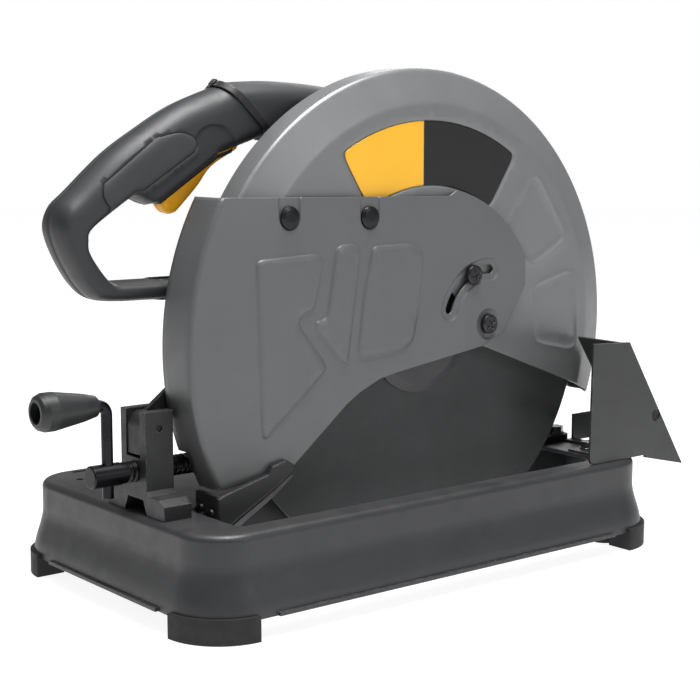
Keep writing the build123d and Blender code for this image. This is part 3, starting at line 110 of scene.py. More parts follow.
# ---------------------------------------------------------------- materials
class Shader:
    """A Principled material whose inputs are built up from procedural nodes."""

    def __init__(self, name):
        self.material = bpy.data.materials.new(name)
        self.material.use_nodes = True
        self.tree = self.material.node_tree
        self.main = self.tree.nodes["Principled BSDF"]
        self.place = self.add("ShaderNodeTexCoord").outputs["Object"]

    def put(self, socket, value):
        if isinstance(value, bpy.types.NodeSocket):
            self.tree.links.new(value, socket)
        elif value is not None:
            socket.default_value = value

    def add(self, kind, inputs=(), **settings):
        """A new node with settings, and inputs by name or number, each a value or another socket."""
        node = self.tree.nodes.new(kind)
        for key, value in settings.items():
            setattr(node, key, value)
        for key, value in dict(inputs).items():
            self.put(node.inputs[key], value)
        return node

    def noise(self, scale, detail=3.0, rough=0.55):
        inputs = {"Vector": self.place, "Scale": scale, "Detail": detail, "Roughness": rough}
        return self.add("ShaderNodeTexNoise", inputs).outputs[0]

    def span(self, value, from_lo, from_hi, to_lo=0.0, to_hi=1.0):
        inputs = {"Value": value, "From Min": from_lo, "From Max": from_hi, "To Min": to_lo, "To Max": to_hi}
        return self.add("ShaderNodeMapRange", inputs, clamp=True).outputs[0]

    def maths(self, operation, a, b=None):
        return self.add("ShaderNodeMath", {0: a, 1: b}, operation=operation).outputs[0]

    def mix(self, factor, a, b):
        node = self.add("ShaderNodeMix", data_type="RGBA")
        self.put(node.inputs[0], factor)
        self.put(node.inputs[6], a)
        self.put(node.inputs[7], b)
        return node.outputs[2]

    def edges(self, radius, low=0.02, high=0.25):
        """0 on flat surfaces and 1 along sharp edges, out to the radius."""
        soft = self.add("ShaderNodeBevel", {"Radius": radius}, samples=4).outputs[0]
        true = self.add("ShaderNodeNewGeometry").outputs["Normal"]
        dot = self.add("ShaderNodeVectorMath", {0: soft, 1: true}, operation="DOT_PRODUCT").outputs["Value"]
        return self.span(self.maths("SUBTRACT", 1.0, dot), low, high)

    def relief(self, layers, rounding=None):
        """Bumps one on another: layers are (height, depth in metres, strength)."""
        normal = self.add("ShaderNodeBevel", {"Radius": rounding}, samples=4).outputs[0] if rounding else None
        for height, depth, strength in layers:
            normal = self.add("ShaderNodeBump", {"Height": height, "Distance": depth, "Strength": strength,
                                                 "Normal": normal}).outputs[0]
        self.put(self.main.inputs["Normal"], normal)

    def set(self, **values):
        for key, value in values.items():
            self.put(self.main.inputs[key.replace("_", " ")], value)


def finish_of(name, colour, second, rough, metal=0.0, grain=(900, 0.0001, 0.3), blotch=14, wear_and_highlight=None,
              wear_and_highlight_radius=0.0009, rounding=0.0006, coat=0.0, dust=None):
    """A solid finish: blotchy colour, uneven gloss, a fine grain, and edges lightened to another colour,
    partly wear and partly a painted highlight.
    """
    s = Shader(name)
    patch = s.noise(blotch, detail=5, rough=0.6)
    fine = s.noise(grain[0], detail=2)
    tone = s.mix(s.span(patch, 0.3, 0.72), linear(*colour), linear(*second))
    tone = s.mix(s.span(fine, 0.35, 0.65, 0.0, 0.12), tone, linear(*[min(255, c * 1.35 + 8) for c in colour]))
    gloss = s.span(s.noise(blotch * 5, detail=5, rough=0.65), 0.3, 0.75, *rough)
    if dust:
        up = s.add("ShaderNodeSeparateXYZ", {0: s.add("ShaderNodeNewGeometry").outputs["Normal"]}).outputs[2]
        film = s.maths("MULTIPLY", s.span(up, 0.35, 1.0),
                       s.span(s.noise(30, detail=6), 0.35, 0.75, 0.0, dust))
        tone = s.mix(film, tone, linear(150, 146, 138))
        gloss = s.maths("ADD", gloss, s.maths("MULTIPLY", film, 0.4))
    # lighter colour along sharp edges: partly real wear, partly a painted highlight standing in for light
    # catching the edges
    if wear_and_highlight:
        edge = s.maths("MULTIPLY", s.edges(wear_and_highlight_radius),
                       s.span(s.noise(170, detail=5, rough=0.7), 0.44, 0.62))
        tone = s.mix(edge, tone, linear(*wear_and_highlight))
        gloss = s.maths("SUBTRACT", gloss, s.maths("MULTIPLY", edge, 0.12))
    s.set(Base_Color=tone, Roughness=gloss, Metallic=metal, Coat_Weight=coat, Coat_Roughness=0.2)
    s.relief([(fine, grain[1], grain[2])], rounding)
    return s.material


MATERIALS = {
    "base_paint": finish_of("base_paint", (44, 45, 47), (39, 40, 42), (0.36, 0.5), grain=(700, 0.0002, 0.35),
                            wear_and_highlight=(120, 122, 124), dust=0.08),
    "sheet_paint": finish_of("sheet_paint", (46, 47, 48), (40, 41, 42), (0.34, 0.5), grain=(800, 0.0002, 0.3),
                             wear_and_highlight=(130, 132, 134), dust=0.08),
    "foot_rubber": finish_of("foot_rubber", (26, 26, 27), (21, 21, 22), (0.62, 0.8),
                             grain=(1500, 0.0002, 0.5)),
    "bolt_steel": finish_of("bolt_steel", (120, 120, 122), (96, 96, 98), (0.28, 0.46), metal=1.0,
                            grain=(1600, 0.0001, 0.25), wear_and_highlight=(190, 190, 190)),
    "black_casting": finish_of("black_casting", (27, 28, 29), (22, 23, 24), (0.4, 0.6),
                               grain=(520, 0.0005, 0.5), wear_and_highlight=(120, 120, 122), dust=0.1),
    "black_steel": finish_of("black_steel", (48, 48, 50), (34, 34, 36), (0.25, 0.45), metal=1.0,
                             grain=(1400, 0.0001, 0.25), wear_and_highlight=(150, 150, 150)),
    "knob_plastic": finish_of("knob_plastic", (34, 35, 36), (29, 30, 31), (0.38, 0.5),
                              grain=(1300, 0.00015, 0.35)),
    "spring_steel": finish_of("spring_steel", (150, 150, 152), (120, 120, 124), (0.2, 0.35), metal=1.0),
    "aluminium_casting": finish_of("aluminium_casting", (150, 152, 154), (128, 130, 132), (0.38, 0.55),
                                   metal=1.0, grain=(450, 0.0004, 0.45), wear_and_highlight=(205, 205, 205)),
    "gear_steel": finish_of("gear_steel", (140, 136, 130), (112, 108, 104), (0.22, 0.4), metal=1.0),
    "ground_steel": finish_of("ground_steel", (190, 190, 192), (170, 170, 172), (0.16, 0.28), metal=1.0),
    "bearing_steel": finish_of("bearing_steel", (185, 186, 190), (160, 160, 165), (0.15, 0.3), metal=1.0),
    "flange_steel": finish_of("flange_steel", (70, 70, 72), (60, 60, 62), (0.4, 0.55), metal=0.3),
    "abrasive": finish_of("abrasive", (68, 69, 70), (60, 61, 62), (0.8, 0.95), grain=(900, 0.0006, 0.8)),
    "armature": finish_of("armature", (150, 84, 44), (120, 60, 30), (0.3, 0.5), metal=0.7),
    "stator_iron": finish_of("stator_iron", (90, 90, 94), (70, 70, 74), (0.4, 0.6), metal=0.9),
    "fan_plastic": finish_of("fan_plastic", (40, 40, 42), (34, 34, 36), (0.4, 0.6)),
    "housing_plastic": finish_of("housing_plastic", (54, 56, 58), (48, 50, 52), (0.42, 0.58),
                                 grain=(1100, 0.0002, 0.5)),
    "cap_plastic": finish_of("cap_plastic", (36, 37, 38), (30, 31, 32), (0.4, 0.55),
                             grain=(1200, 0.00015, 0.4)),
    "inlet_rubber": finish_of("inlet_rubber", (38, 38, 39), (32, 32, 33), (0.6, 0.75),
                              grain=(1500, 0.0002, 0.5)),
    "guard_paint": finish_of("guard_paint", (118, 119, 120), (112, 113, 114), (0.34, 0.46), metal=0.35,
                             grain=(2200, 0.00008, 0.25), wear_and_highlight=(170, 172, 174), coat=0.15),
    "label_yellow": finish_of("label_yellow", (240, 176, 36), (236, 170, 32), (0.3, 0.4),
                              grain=(2600, 0.00004, 0.15), coat=0.4),
    "label_black": finish_of("label_black", (14, 14, 14), (10, 10, 10), (0.4, 0.5),
                             grain=(2600, 0.00004, 0.15)),
    "front_guard_paint": finish_of("front_guard_paint", (96, 97, 98), (91, 92, 93), (0.36, 0.5), metal=0.3,
                                   grain=(2200, 0.00008, 0.25), wear_and_highlight=(160, 162, 164), coat=0.1),
    "shoe_plastic": finish_of("shoe_plastic", (32, 33, 34), (27, 28, 29), (0.42, 0.58),
                              grain=(1200, 0.0002, 0.4)),
    "rivet_steel": finish_of("rivet_steel", (50, 50, 52), (40, 40, 42), (0.3, 0.45), metal=0.9,
                             wear_and_highlight=(140, 140, 142)),
    "screw_dark": finish_of("screw_dark", (60, 60, 62), (44, 44, 46), (0.28, 0.42), metal=0.9,
                            wear_and_highlight=(130, 130, 130)),
    "handle_plastic": finish_of("handle_plastic", (40, 41, 43), (35, 36, 38), (0.44, 0.56),
                                grain=(1100, 0.00018, 0.5)),
    "grip_rubber": finish_of("grip_rubber", (52, 54, 55), (46, 48, 49), (0.6, 0.72),
                             grain=(1500, 0.0002, 0.5)),
    "trigger_plastic": finish_of("trigger_plastic", (250, 176, 16), (246, 166, 10), (0.34, 0.46),
                                 grain=(1300, 0.00012, 0.3)),
    "collar_plastic": finish_of("collar_plastic", (22, 22, 23), (18, 18, 19), (0.4, 0.5),
                                grain=(1100, 0.00018, 0.5)),
}
SLOT_OF = {
    "base_paint": ["base_shell"],
    "foot_rubber": ["foot_front_left", "foot_front_right", "foot_rear_left", "foot_rear_right"],
    "bolt_steel": ["base_bolts", "fence_bolts", "pivot_pin", "depth_stop", "housing_screws",
                   "arbor_bolt"],
    "black_casting": ["vise_block", "release_lever", "vise_jaw", "fence", "pivot_bracket"],
    "black_steel": ["vise_screw", "crank_rod", "lock_pin", "lever_pin"],
    "knob_plastic": ["crank_knob"],
    "spring_steel": ["jaw_ring", "return_spring"],
    "sheet_paint": ["spark_deflector"],
    "aluminium_casting": ["swing_arm", "gear_cover"],
    "gear_steel": ["spindle_gear"],
    "ground_steel": ["spindle_shaft", "motor_shaft"],
    "bearing_steel": ["spindle_bearings", "motor_bearings"],
    "flange_steel": ["inner_flange", "outer_flange"],
    "abrasive": ["cutting_wheel"],
    "armature": ["armature_core"],
    "stator_iron": ["stator"],
    "fan_plastic": ["cooling_fan"],
    "housing_plastic": ["motor_housing", "motor_end_cap"],
    "cap_plastic": ["brush_caps", "spindle_lock", "switch_body"],
    "inlet_rubber": ["cord_inlet"],
    "guard_paint": ["fixed_guard"],
    "label_yellow": ["label_yellow"],
    "label_black": ["label_black"],
    "front_guard_paint": ["front_guard"],
    "shoe_plastic": ["guard_shoe"],
    "rivet_steel": ["guard_rivets", "shoe_bolts"],
    "screw_dark": ["guard_screws", "handle_screws"],
    "handle_plastic": ["handle_right", "handle_left", "arm_shroud"],
    "grip_rubber": ["grip_right", "grip_left"],
    "trigger_plastic": ["trigger", "lock_off_button"],
    "collar_plastic": ["neck_collar"],
}
for slot_name, names in SLOT_OF.items():
    for name in names:
        mesh = NODES[name].data
        mesh.materials.clear()
        mesh.materials.append(MATERIALS[slot_name])

# ---------------------------------------------------------------- shapes


def rounded_line(points, step=2.5):
    """A closed line of (y, z, radius) points, smooth through each and sharp at a doubled one."""
    points = np.array(points, float)
    n, out = len(points), []
    for i in range(n):
        a, b, c, d = (points[(i + k) % n] for k in (-1, 0, 1, 2))
        length = math.hypot(*(c - b)[:2])
        if length < 1e-6:
            continue
        count = max(1, round(length / step))
        for t in np.arange(count) / count:
            out.append(0.5 * (2 * b + (c - a) * t + (2 * a - 5 * b + 4 * c - d) * t ** 2
                              + (3 * b - a - 3 * c + d) * t ** 3))
    return np.array(out)


def to_segments(p, line):
    """Distance from each point to each side of a closed line, and how far along that side."""
    a, b = line[:, :2], np.roll(line[:, :2], -1, 0)
    run = b - a
    t = ((p[:, None] - a) * run).sum(2) / np.maximum((run ** 2).sum(1), 1e-12)
    t = np.clip(t, 0, 1)
    near = a + t[:, :, None] * run
    return np.hypot(*(p[:, None] - near).transpose(2, 0, 1)), t


def inside(p, line):
    """Which points lie inside a closed line."""
    a, b = line[:, :2], np.roll(line[:, :2], -1, 0)
    y, z = p[:, :1], p[:, 1:2]
    rise = b[:, 1] - a[:, 1]
    crossing = (a[:, 1] > z) != (b[:, 1] > z)
    at = a[:, 0] + (z - a[:, 1]) * (b[:, 0] - a[:, 0]) / np.where(rise == 0, 1e-9, rise)
    return (crossing & (y < at)).sum(1) % 2 == 1


def crown(p, line, half):
    """How far a rounded side bulges at each point: nothing at the line, all of half at its radius inside."""
    distance, t = to_segments(p, line)
    radius = line[:, 2] * (1 - t) + np.roll(line[:, 2], -1) * t
    lift = np.sqrt(np.maximum(0, 1 - (1 - np.minimum(distance / np.maximum(radius, 1e-6), 1)) ** 2))
    return half * np.where(radius < 0, 1, lift).min(1)


def sheet_mesh(name, line, height, spacing, ring_depths, extra=()):
    """A surface over a closed line in the YZ plane. height gives x in mm for an array of points."""
    line = np.array(line, float)
    before, after = np.roll(line[:, :2], 1, 0), np.roll(line[:, :2], -1, 0)
    along = after - before
    normal = np.stack([-along[:, 1], along[:, 0]], 1) / np.maximum(np.hypot(*along.T), 1e-9)[:, None]
    area = (line[:, 0] * after[:, 1] - after[:, 0] * line[:, 1]).sum()
    normal *= 1 if area > 0 else -1
    points = [line[:, :2]]
    for depth in ring_depths:
        ring = line[:, :2] + normal * depth
        keep = inside(ring, line) & (to_segments(ring, line)[0].min(1) > depth * 0.93)
        points.append(ring[keep])
    low, high = line[:, :2].min(0), line[:, :2].max(0)
    ys = np.arange(low[0], high[0], spacing)
    zs = np.arange(low[1], high[1], spacing * 0.866)
    grid = np.array([(y + (i % 2) * spacing / 2, z) for i, z in enumerate(zs) for y in ys])
    grid = grid[inside(grid, line)]
    margin = (max(ring_depths) if ring_depths else 0) + spacing * 0.45
    grid = grid[to_segments(grid, line)[0].min(1) > margin]
    for strip in extra:             # finer rows of points along a feature
        strip = strip[inside(strip, line)]
        strip = strip[to_segments(strip, line)[0].min(1) > 0.3]
        if len(strip) and len(grid):
            gap = np.array([np.hypot(*(strip - g).T).min() for g in grid])
            grid = grid[gap > spacing * 0.4]
        points.append(strip)
    points.append(grid)
    flat = np.concatenate(points)
    found = geometry.delaunay_2d_cdt([Vector(p) for p in flat], [], [list(range(len(line)))], 1, 1e-4)
    flat = np.array([tuple(v) for v in found[0]])
    x = height(flat)
    mesh = bpy.data.meshes.new(name)
    mesh.from_pydata([(MIDDLE.x + h * MM, MIDDLE.y + y * MM, z * MM) for h, (y, z) in zip(x, flat)], [],
                     [list(f) for f in found[2]])
    mesh.polygons.foreach_set("use_smooth", [True] * len(mesh.polygons))
    mesh.update()
    return mesh


def piece(name, mesh, body, slot_name, *nodes):
    """A shown piece that rides on a body, takes a slot's finish and stands for CAD nodes."""
    obj = bpy.data.objects.new(name, mesh)
    SCENE.collection.objects.link(obj)
    mesh.materials.clear()
    mesh.materials.append(MATERIALS[slot_name])
    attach(obj, body)
    if nodes:
        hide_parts(*nodes)
    return obj


def face_out(mesh, side):
    """Turn a sheet whose largest face looks the wrong way along X."""
    if max(mesh.polygons, key=lambda f: f.area).normal.x * side < 0:
        mesh.flip_normals()


def thicken(obj, thickness):
    """Give a sheet a wall in mm, inwards from its outer face."""
    solid = obj.modifiers.new("wall", "SOLIDIFY")
    solid.thickness, solid.offset, solid.use_even_offset = thickness * MM, -1.0, False
    return obj


# ---------------------------------------------------------------- handle
HANDLE_X, HANDLE_HALF = -2.0, 19.0
TOP, LOWER, INNER, CUT = 16.0, 6.0, 5.0, -1.0       # rounding radii; a cut end isn't rounded
HANDLE_LINE = rounded_line([
    (-122.5, 365.3, TOP), (-157, 352.5, TOP), (-185, 337, TOP), (-213, 319, TOP), (-240, 295.5, 14),
    (-252, 284.5, 11), (-256, 273, 7.5), (-254.5, 261, LOWER), (-247, 243.5, LOWER), (-237, 228, LOWER),
    (-225.5, 218.5, LOWER), (-205, 216, LOWER), (-205, 216, LOWER), (-52, 213.5, LOWER),
    (-52, 213.5, CUT), (-52, 229.5, CUT), (-52, 229.5, INNER), (-213, 230.5, INNER),
    (-213, 230.5, INNER), (-220, 235.5, INNER), (-231, 251, INNER), (-232.5, 260, INNER),
    (-228.5, 268, INNER), (-196, 288.5, 7), (-196, 288.5, 7), (-181, 282.3, 4), (-181, 282.3, 4),
    (-176, 284.2, 3), (-176, 284.2, 3), (-126, 316.5, 4), (-126, 316.5, 6), (-86, 329, 8),
    (-86, 329, CUT), (-122.5, 365.3, CUT)])
SLOT_Y = (-179.0, -104.0)               # where the trigger comes out of the underside
GRIP_LINE = rounded_line([(y, z, 2.5) for y, z in [
    (-224, 290), (-223, 298), (-223, 298), (-184, 326.5), (-176, 330), (-162, 332.5), (-152, 329.5),
    (-148, 324), (-150.5, 319.5), (-150.5, 319.5), (-213.5, 281), (-219, 282.5)]], step=1.6)


ARCH_LINE = rounded_line([(y, z, 0) for y, z in [
    (-149.5, 322), (-150, 330), (-142.4, 337), (-133.2, 338.7), (-124, 336.8), (-117.5, 330.3), (-111, 322.6),
    (-103.5, 316.3), (-103.5, 316.3), (-104, 296), (-104, 296), (-182, 262), (-182, 262), (-200, 284),
    (-200, 284), (-190, 292.5), (-153, 316)]], step=1.6)


def handle_height(p):
    """How far the handle's side stands out from its middle plane."""
    side = crown(p, HANDLE_LINE, HANDLE_HALF)
    slot = np.clip((p[:, 0] - SLOT_Y[0]) / 4, 0, 1) * np.clip((SLOT_Y[1] - p[:, 0]) / 8, 0, 1)
    under = p[:, 1] < 0.5 * (p[:, 0] + 176) + 296
    rise = to_segments(p, ARCH_LINE)[0].min(1) / 1.6        # the side is sunk below the arch
    sunk = np.where(inside(p, ARCH_LINE), np.minimum(rise, 1), 0)
    return np.maximum(side, np.where(under, slot * 9.8, 0)) - 1.1 * sunk * (side > 3)


def groove(p, line, width, depth):
    """A rounded furrow along a closed line."""
    distance = to_segments(p, line)[0].min(1)
    return depth * np.clip(1 - (distance / width) ** 2, 0, 1)


def offsets(line, depths):
    """Rows of points each side of a closed line."""
    along = np.roll(line[:, :2], -1, 0) - np.roll(line[:, :2], 1, 0)
    normal = np.stack([-along[:, 1], along[:, 0]], 1) / np.maximum(np.hypot(*along.T), 1e-9)[:, None]
    return [line[:, :2] + normal * depth for depth in depths]


for side, half_node, grip_node, tag in ((1, "handle_right", "grip_right", "right"),
                                        (-1, "handle_left", "grip_left", "left")):
    def body_height(p, side=side):
        return HANDLE_X + side * (handle_height(p) - groove(p, GRIP_LINE, 1.0, 0.9))

    def grip_height(p, side=side):
        edge = to_segments(p, GRIP_LINE)[0].min(1)
        return HANDLE_X + side * (handle_height(p) + 0.7 * np.sqrt(np.clip(edge / 1.6, 0, 1)) - 0.35)

    rows = (offsets(GRIP_LINE, (-1.0, -0.5, 0.0, 0.5, 1.0))
            + offsets(ARCH_LINE[:40], (-1.6, -0.8, 0, 0.8, 1.6)))
    shell = sheet_mesh("handle_" + tag, HANDLE_LINE, body_height, 3.0,
                       (0.25, 0.9, 2.0, 3.6, 5.8, 8.5, 12), rows)
    if side < 0:
        shell.flip_normals()
    shell_piece = piece("handle_shell_" + tag, shell, "head", "handle_plastic", half_node)
    thicken(shell_piece, 2.4)
    pad = sheet_mesh("grip_" + tag, GRIP_LINE, grip_height, 2.6, (0.3, 0.8, 1.6))
    if side < 0:
        pad.flip_normals()
    thicken(piece("grip_pad_" + tag, pad, "head", "grip_rubber", grip_node), 1.0)

# the trigger, rounded where a finger lies and narrower than the slot
TRIGGER_LINE = rounded_line([(y, z, r) for y, z, r in [
    (-171, 284.5, 3), (-169.5, 279, 4), (-165.5, 276, 5), (-159, 276, 5), (-149.5, 284, 6), (-138.5, 295, 6),
    (-131, 304.8, 4.5), (-124, 310.6, 3.5), (-116, 315, 3), (-105.5, 320.5, 3), (-105.5, 320.5, 3),
    (-104.5, 331, 4), (-113, 334.5, 4), (-113, 334.5, 4), (-128, 326.5, 4), (-150, 311, 4), (-166.5, 298, 4),
    (-166.5, 298, 4)]])
for side, tag in ((1, "right"), (-1, "left")):
    mesh = sheet_mesh("trigger_" + tag, TRIGGER_LINE,
                      lambda p, side=side: HANDLE_X + side * crown(p, TRIGGER_LINE, 8.8), 3.0,
                      (0.2, 0.7, 1.5, 2.6, 4.0))
    face_out(mesh, side)
    thicken(piece("trigger_shell_" + tag, mesh, "trigger", "trigger_plastic", "trigger"), 1.6)

# ---------------------------------------------------------------- pressed sheet guards
ARBOR = (31.0, 181.0)                   # the wheel's centre, as (y, z)
PIVOT = (88.0, 184.0)                   # the front guard's lower screw
RIM = 3.0                               # rounding between a guard's face and its wall


def polar(centre, radius, degrees):
    return (centre[0] + radius * math.cos(math.radians(degrees)),
            centre[1] + radius * math.sin(math.radians(degrees)))


def arc(centre, radius, start, end, step=2.5):
    """Points along an arc, both ends included."""
    count = max(1, round(abs(math.radians(end - start)) * radius / step))
    return [polar(centre, radius, start + (end - start) * i / count) for i in range(count + 1)]


def cut_corners(points, cuts, step=2.0):
    """A closed polygon of points whose corners are rounded, with points every step along it."""
    n, out = len(points), []
    cuts = cuts if isinstance(cuts, list) else [cuts] * n
    for i in range(n):
        here = np.array(points[i], float)
        before, after = np.array(points[i - 1], float) - here, np.array(points[(i + 1) % n], float) - here
        a = here + before * min(0.48, cuts[i] / np.hypot(*before))
        b = here + after * min(0.48, cuts[i] / np.hypot(*after))
        out += [(1 - t) ** 2 * a + 2 * t * (1 - t) * here + t * t * b for t in (0, 0.25, 0.5, 0.75, 1)]
    return divided(out, step)


def divided(points, step=2.0):
    """A closed polygon with more points along its long sides."""
    out = []
    for a, b in zip(points, list(points[1:]) + [points[0]]):
        a, b = np.array(a, float), np.array(b, float)
        count = max(1, math.ceil(np.hypot(*(b - a)) / step - 1e-6))
        out += [a + (b - a) * i / count for i in range(count)]
    keep = [p for i, p in enumerate(out) if np.hypot(*(p - out[i - 1])) > 1e-3]
    return np.array(keep)


def step_at(distance, width):
    t = np.clip(distance / width, 0, 1)
    return t * t * (3 - 2 * t)


def signed(p, line):
    """Distance to a closed line, positive inside it."""
    distance = to_segments(p, line)[0].min(1)
    return np.where(inside(p, line), distance, -distance)


def face_of(p, x_edge, x_face, rim_r, face_r):
    """A guard's pressed face: flat inside, a cone outside it, and a rounded rim."""
    r = np.hypot(p[:, 0] - ARBOR[0], p[:, 1] - ARBOR[1])
    cone = x_face - (r - face_r) * (x_face - x_edge) / (rim_r - face_r)
    x = 0.5 * (x_face + cone - np.sqrt((x_face - cone) ** 2 + 0.35))
    over = np.clip(r - (rim_r - RIM), 0, RIM)
    return x - (RIM - np.sqrt(np.maximum(RIM ** 2 - over ** 2, 0)))


def guard_mesh(name, line, height, rows, holes, wall, spacing=5.0):
    """A guard as one skin: its face, and a wall round the arc with (radius, from, to, x rows, keep)."""
    mesh = sheet_mesh(name, line, height, spacing, (0.5, 1.2, 2.1, 3.2, 5.0), rows)
    skin = bmesh.new()
    skin.from_mesh(mesh)
    for hole in holes:
        centres = np.array([f.calc_center_median() for f in skin.faces])
        centres = (centres[:, 1:] - [MIDDLE.y, 0]) / MM
        gone = [f for f, g in zip(list(skin.faces), inside(centres, hole)) if g]
        bmesh.ops.delete(skin, geom=gone, context="FACES")
    radius, start, end, xs, keep = wall
    points = arc(ARBOR, radius, start, end)
    front = height(np.array(points))
    columns = []
    for (y, z), x_front in zip(points, front):
        columns.append([skin.verts.new((MIDDLE.x + x * MM, MIDDLE.y + y * MM, z * MM))
                        for x in [x_front] + list(xs)])
    for (a, b), (p, q) in zip(zip(columns, columns[1:]), zip(points, points[1:])):
        for i in range(len(a) - 1):
            if keep(0.5 * (p[1] + q[1]), a[i + 1].co.x / MM - MIDDLE.x / MM):
                skin.faces.new((a[i], b[i], b[i + 1], a[i + 1]))
    bmesh.ops.remove_doubles(skin, verts=skin.verts, dist=2e-5)
    loose = [v for v in skin.verts if not v.link_faces]
    bmesh.ops.delete(skin, geom=loose, context="VERTS")
    bmesh.ops.recalc_face_normals(skin, faces=skin.faces)
    skin.faces.ensure_lookup_table()
    flat = max(skin.faces, key=lambda f: f.calc_center_median().x)
    if flat.normal.x < 0:
        bmesh.ops.reverse_faces(skin, faces=skin.faces)
    for face in skin.faces:
        face.smooth = True
    skin.to_mesh(mesh)
    skin.free()
    return mesh


def slot_line(centre, radius, width, start, end):
    """The outline of an arc slot with round ends."""
    half = width / 2
    tip, tail = polar(centre, radius, end), polar(centre, radius, start)
    return np.array(arc(centre, radius + half, start, end, 1.5)
                    + arc(tip, half, end, end + 180, 1.2)[1:-1]
                    + arc(centre, radius - half, end, start, 1.5)
                    + arc(tail, half, start + 180, start + 360, 1.2)[1:-1])


# the fixed guard
GUARD_R, GUARD_FACE_R, GUARD_X = 200.0, 173.6, (30.0, 51.6, 61.5)
GUARD_LINE = divided(
    [(-166.1, 215.2), (-20, 174), (-6.2, 173)] + arc(ARBOR, 38, 192.1, -20.8)
    + [(66.5, 167.5), (88, 166), (180, 131), (220.1, 115.7)] + arc(ARBOR, GUARD_R, -19.05, 170.15)[:-1], 2.5)
PADS = [cut_corners(p, 7.0) for p in (
    [(140, 297), (146, 297.5), (178.6, 250.5), (175, 244), (144.5, 227.5), (135.5, 230), (111.5, 259.5),
     (113.5, 267.5)],
    [(142.5, 210), (183, 220), (191.5, 213), (194.5, 159), (186, 155.5), (152, 163), (145, 167)])]
LABEL_R, LABEL_ANGLES, LABEL_SPLIT = (112.5, 160.5), (56.6, 121.5), 24.8
LABEL_COUNT = [len(arc(ARBOR, r, 0, LABEL_ANGLES[1] - LABEL_ANGLES[0] + 1.4, 9))
               for r in (LABEL_R[1] + 1.2, LABEL_R[0] - 1.2)]
LABEL_POCKET = cut_corners(arc(ARBOR, LABEL_R[1] + 1.2, LABEL_ANGLES[0] - 0.7, LABEL_ANGLES[1] + 0.7, 9)
                           + arc(ARBOR, LABEL_R[0] - 1.2, LABEL_ANGLES[1] + 0.7, LABEL_ANGLES[0] - 0.7, 9),
                           [9.0 if i in (0, LABEL_COUNT[0] - 1, LABEL_COUNT[0], sum(LABEL_COUNT) - 1)
                            else 0.01 for i in range(sum(LABEL_COUNT))])


def guard_height(p):
    x = face_of(p, GUARD_X[1], GUARD_X[2], GUARD_R, GUARD_FACE_R)
    for pad in PADS:
        d = signed(p, pad)
        x -= 1.5 * step_at(d, 1.9) - 0.3 * np.exp(-((d + 1.0) / 1.1) ** 2)
    return x - 1.1 * step_at(signed(p, LABEL_POCKET) + 0.5, 1.4)


guard_rows = [row for pad in PADS for row in offsets(pad, (-2.6, -1.0, 0.0, 0.5, 1.0, 1.5, 2.0))]
guard_rows += offsets(LABEL_POCKET, (-0.6, 0.0, 0.5, 1.1))
guard_rows += [np.array(arc(ARBOR, GUARD_FACE_R + d, -25, 175)) for d in (-3.5, -1.5, 0, 1.5, 3.5)]
fixed = guard_mesh("fixed_guard_skin", GUARD_LINE, guard_height, guard_rows, [],
                   (GUARD_R, -19.05, 170.15, (45.0, 39.0, 33.0, 31.0, GUARD_X[0] + 0.2), lambda z, x: True))
back_line = divided(
    [(-165.0, 215.3), (-20, 174.2), (-13.0, 173.6)] + arc(ARBOR, 45, 189.5, -17.6)
    + [(75, 167.2), (88, 166.2), (180, 131.2), (219.0, 116.0)]
    + arc(ARBOR, GUARD_R - 0.8, -19.0, 170.1)[:-1], 4.0)
back = sheet_mesh("fixed_guard_back", back_line, lambda p: np.full(len(p), GUARD_X[0] + 0.1), 12.0, (3.0,))
back.flip_normals()
joined = bmesh.new()
joined.from_mesh(fixed)
joined.from_mesh(back)
joined.to_mesh(fixed)
joined.free()
fixed_piece = piece("fixed_guard_skin", fixed, "head", "guard_paint", "fixed_guard")
thicken(fixed_piece, 2.2)

for name, keep_left in (("label_yellow", True), ("label_black", False)):
    r0, r1 = LABEL_R
    a0, a1 = LABEL_ANGLES
    low, high = (math.degrees(math.acos((LABEL_SPLIT - ARBOR[0]) / r)) for r in (r0, r1))
    if keep_left:
        ring, end = arc(ARBOR, r1, high, a1, 9) + arc(ARBOR, r0, a1, low, 9), a1
    else:
        ring, end = arc(ARBOR, r1, a0, high, 9) + arc(ARBOR, r0, low, a0, 9), a0
    bearings = [math.degrees(math.atan2(z - ARBOR[1], y - ARBOR[0])) for y, z in ring]
    cuts = [9.0 if abs(bearing - end) < 0.01 else 0.01 for bearing in bearings]
    plate = sheet_mesh(name + "_plate", cut_corners(ring, cuts, 3.0),
                       lambda p: np.full(len(p), GUARD_X[2] - 0.6), 8.0, (1.0,))
    thicken(piece(name + "_plate", plate, "head", name, name), 0.4)

# the front guard
COVER_R, COVER_FACE_R, COVER_X, COVER_LOW_X = 216.0, 168.0, (25.0, 60.0, 67.0), 35.0
COVER_LINE = divided(
    [(-156.3, 288.5), (-162.3, 84.7)][1:] + [(-102.5, 96.5), (-77, 117), (-54, 135.5), (-41, 143.5),
     (-22, 151.5), (-3, 155), (82.5, 167), (104, 176), (128, 212)] + arc(ARBOR, 110.5, 29, 78)
    + [(46, 285), (-148, 288.5)] + arc(ARBOR, COVER_R, 150.15, 206.49)[:-1], 2.5)
PANELS = [cut_corners(p, 6.0) for p in (
    [(-134, 245), (-82, 247.5), (-75, 243.5), (-83, 208), (-95.5, 204), (-98.5, 198.5), (-74, 167.5),
     (-73, 163), (-129, 116.5), (-131, 130)],
    [(-64, 252), (-49.5, 253.5), (-41, 249.5), (-53, 165.5), (-57, 165), (-84, 195), (-82, 199.5),
     (-73, 199.5)],
    [(-30.5, 250.5), (6, 251), (20, 244), (14.5, 197), (10, 177), (-1, 170.5), (-40.5, 168), (-44.5, 172),
     (-39, 214.5)])]
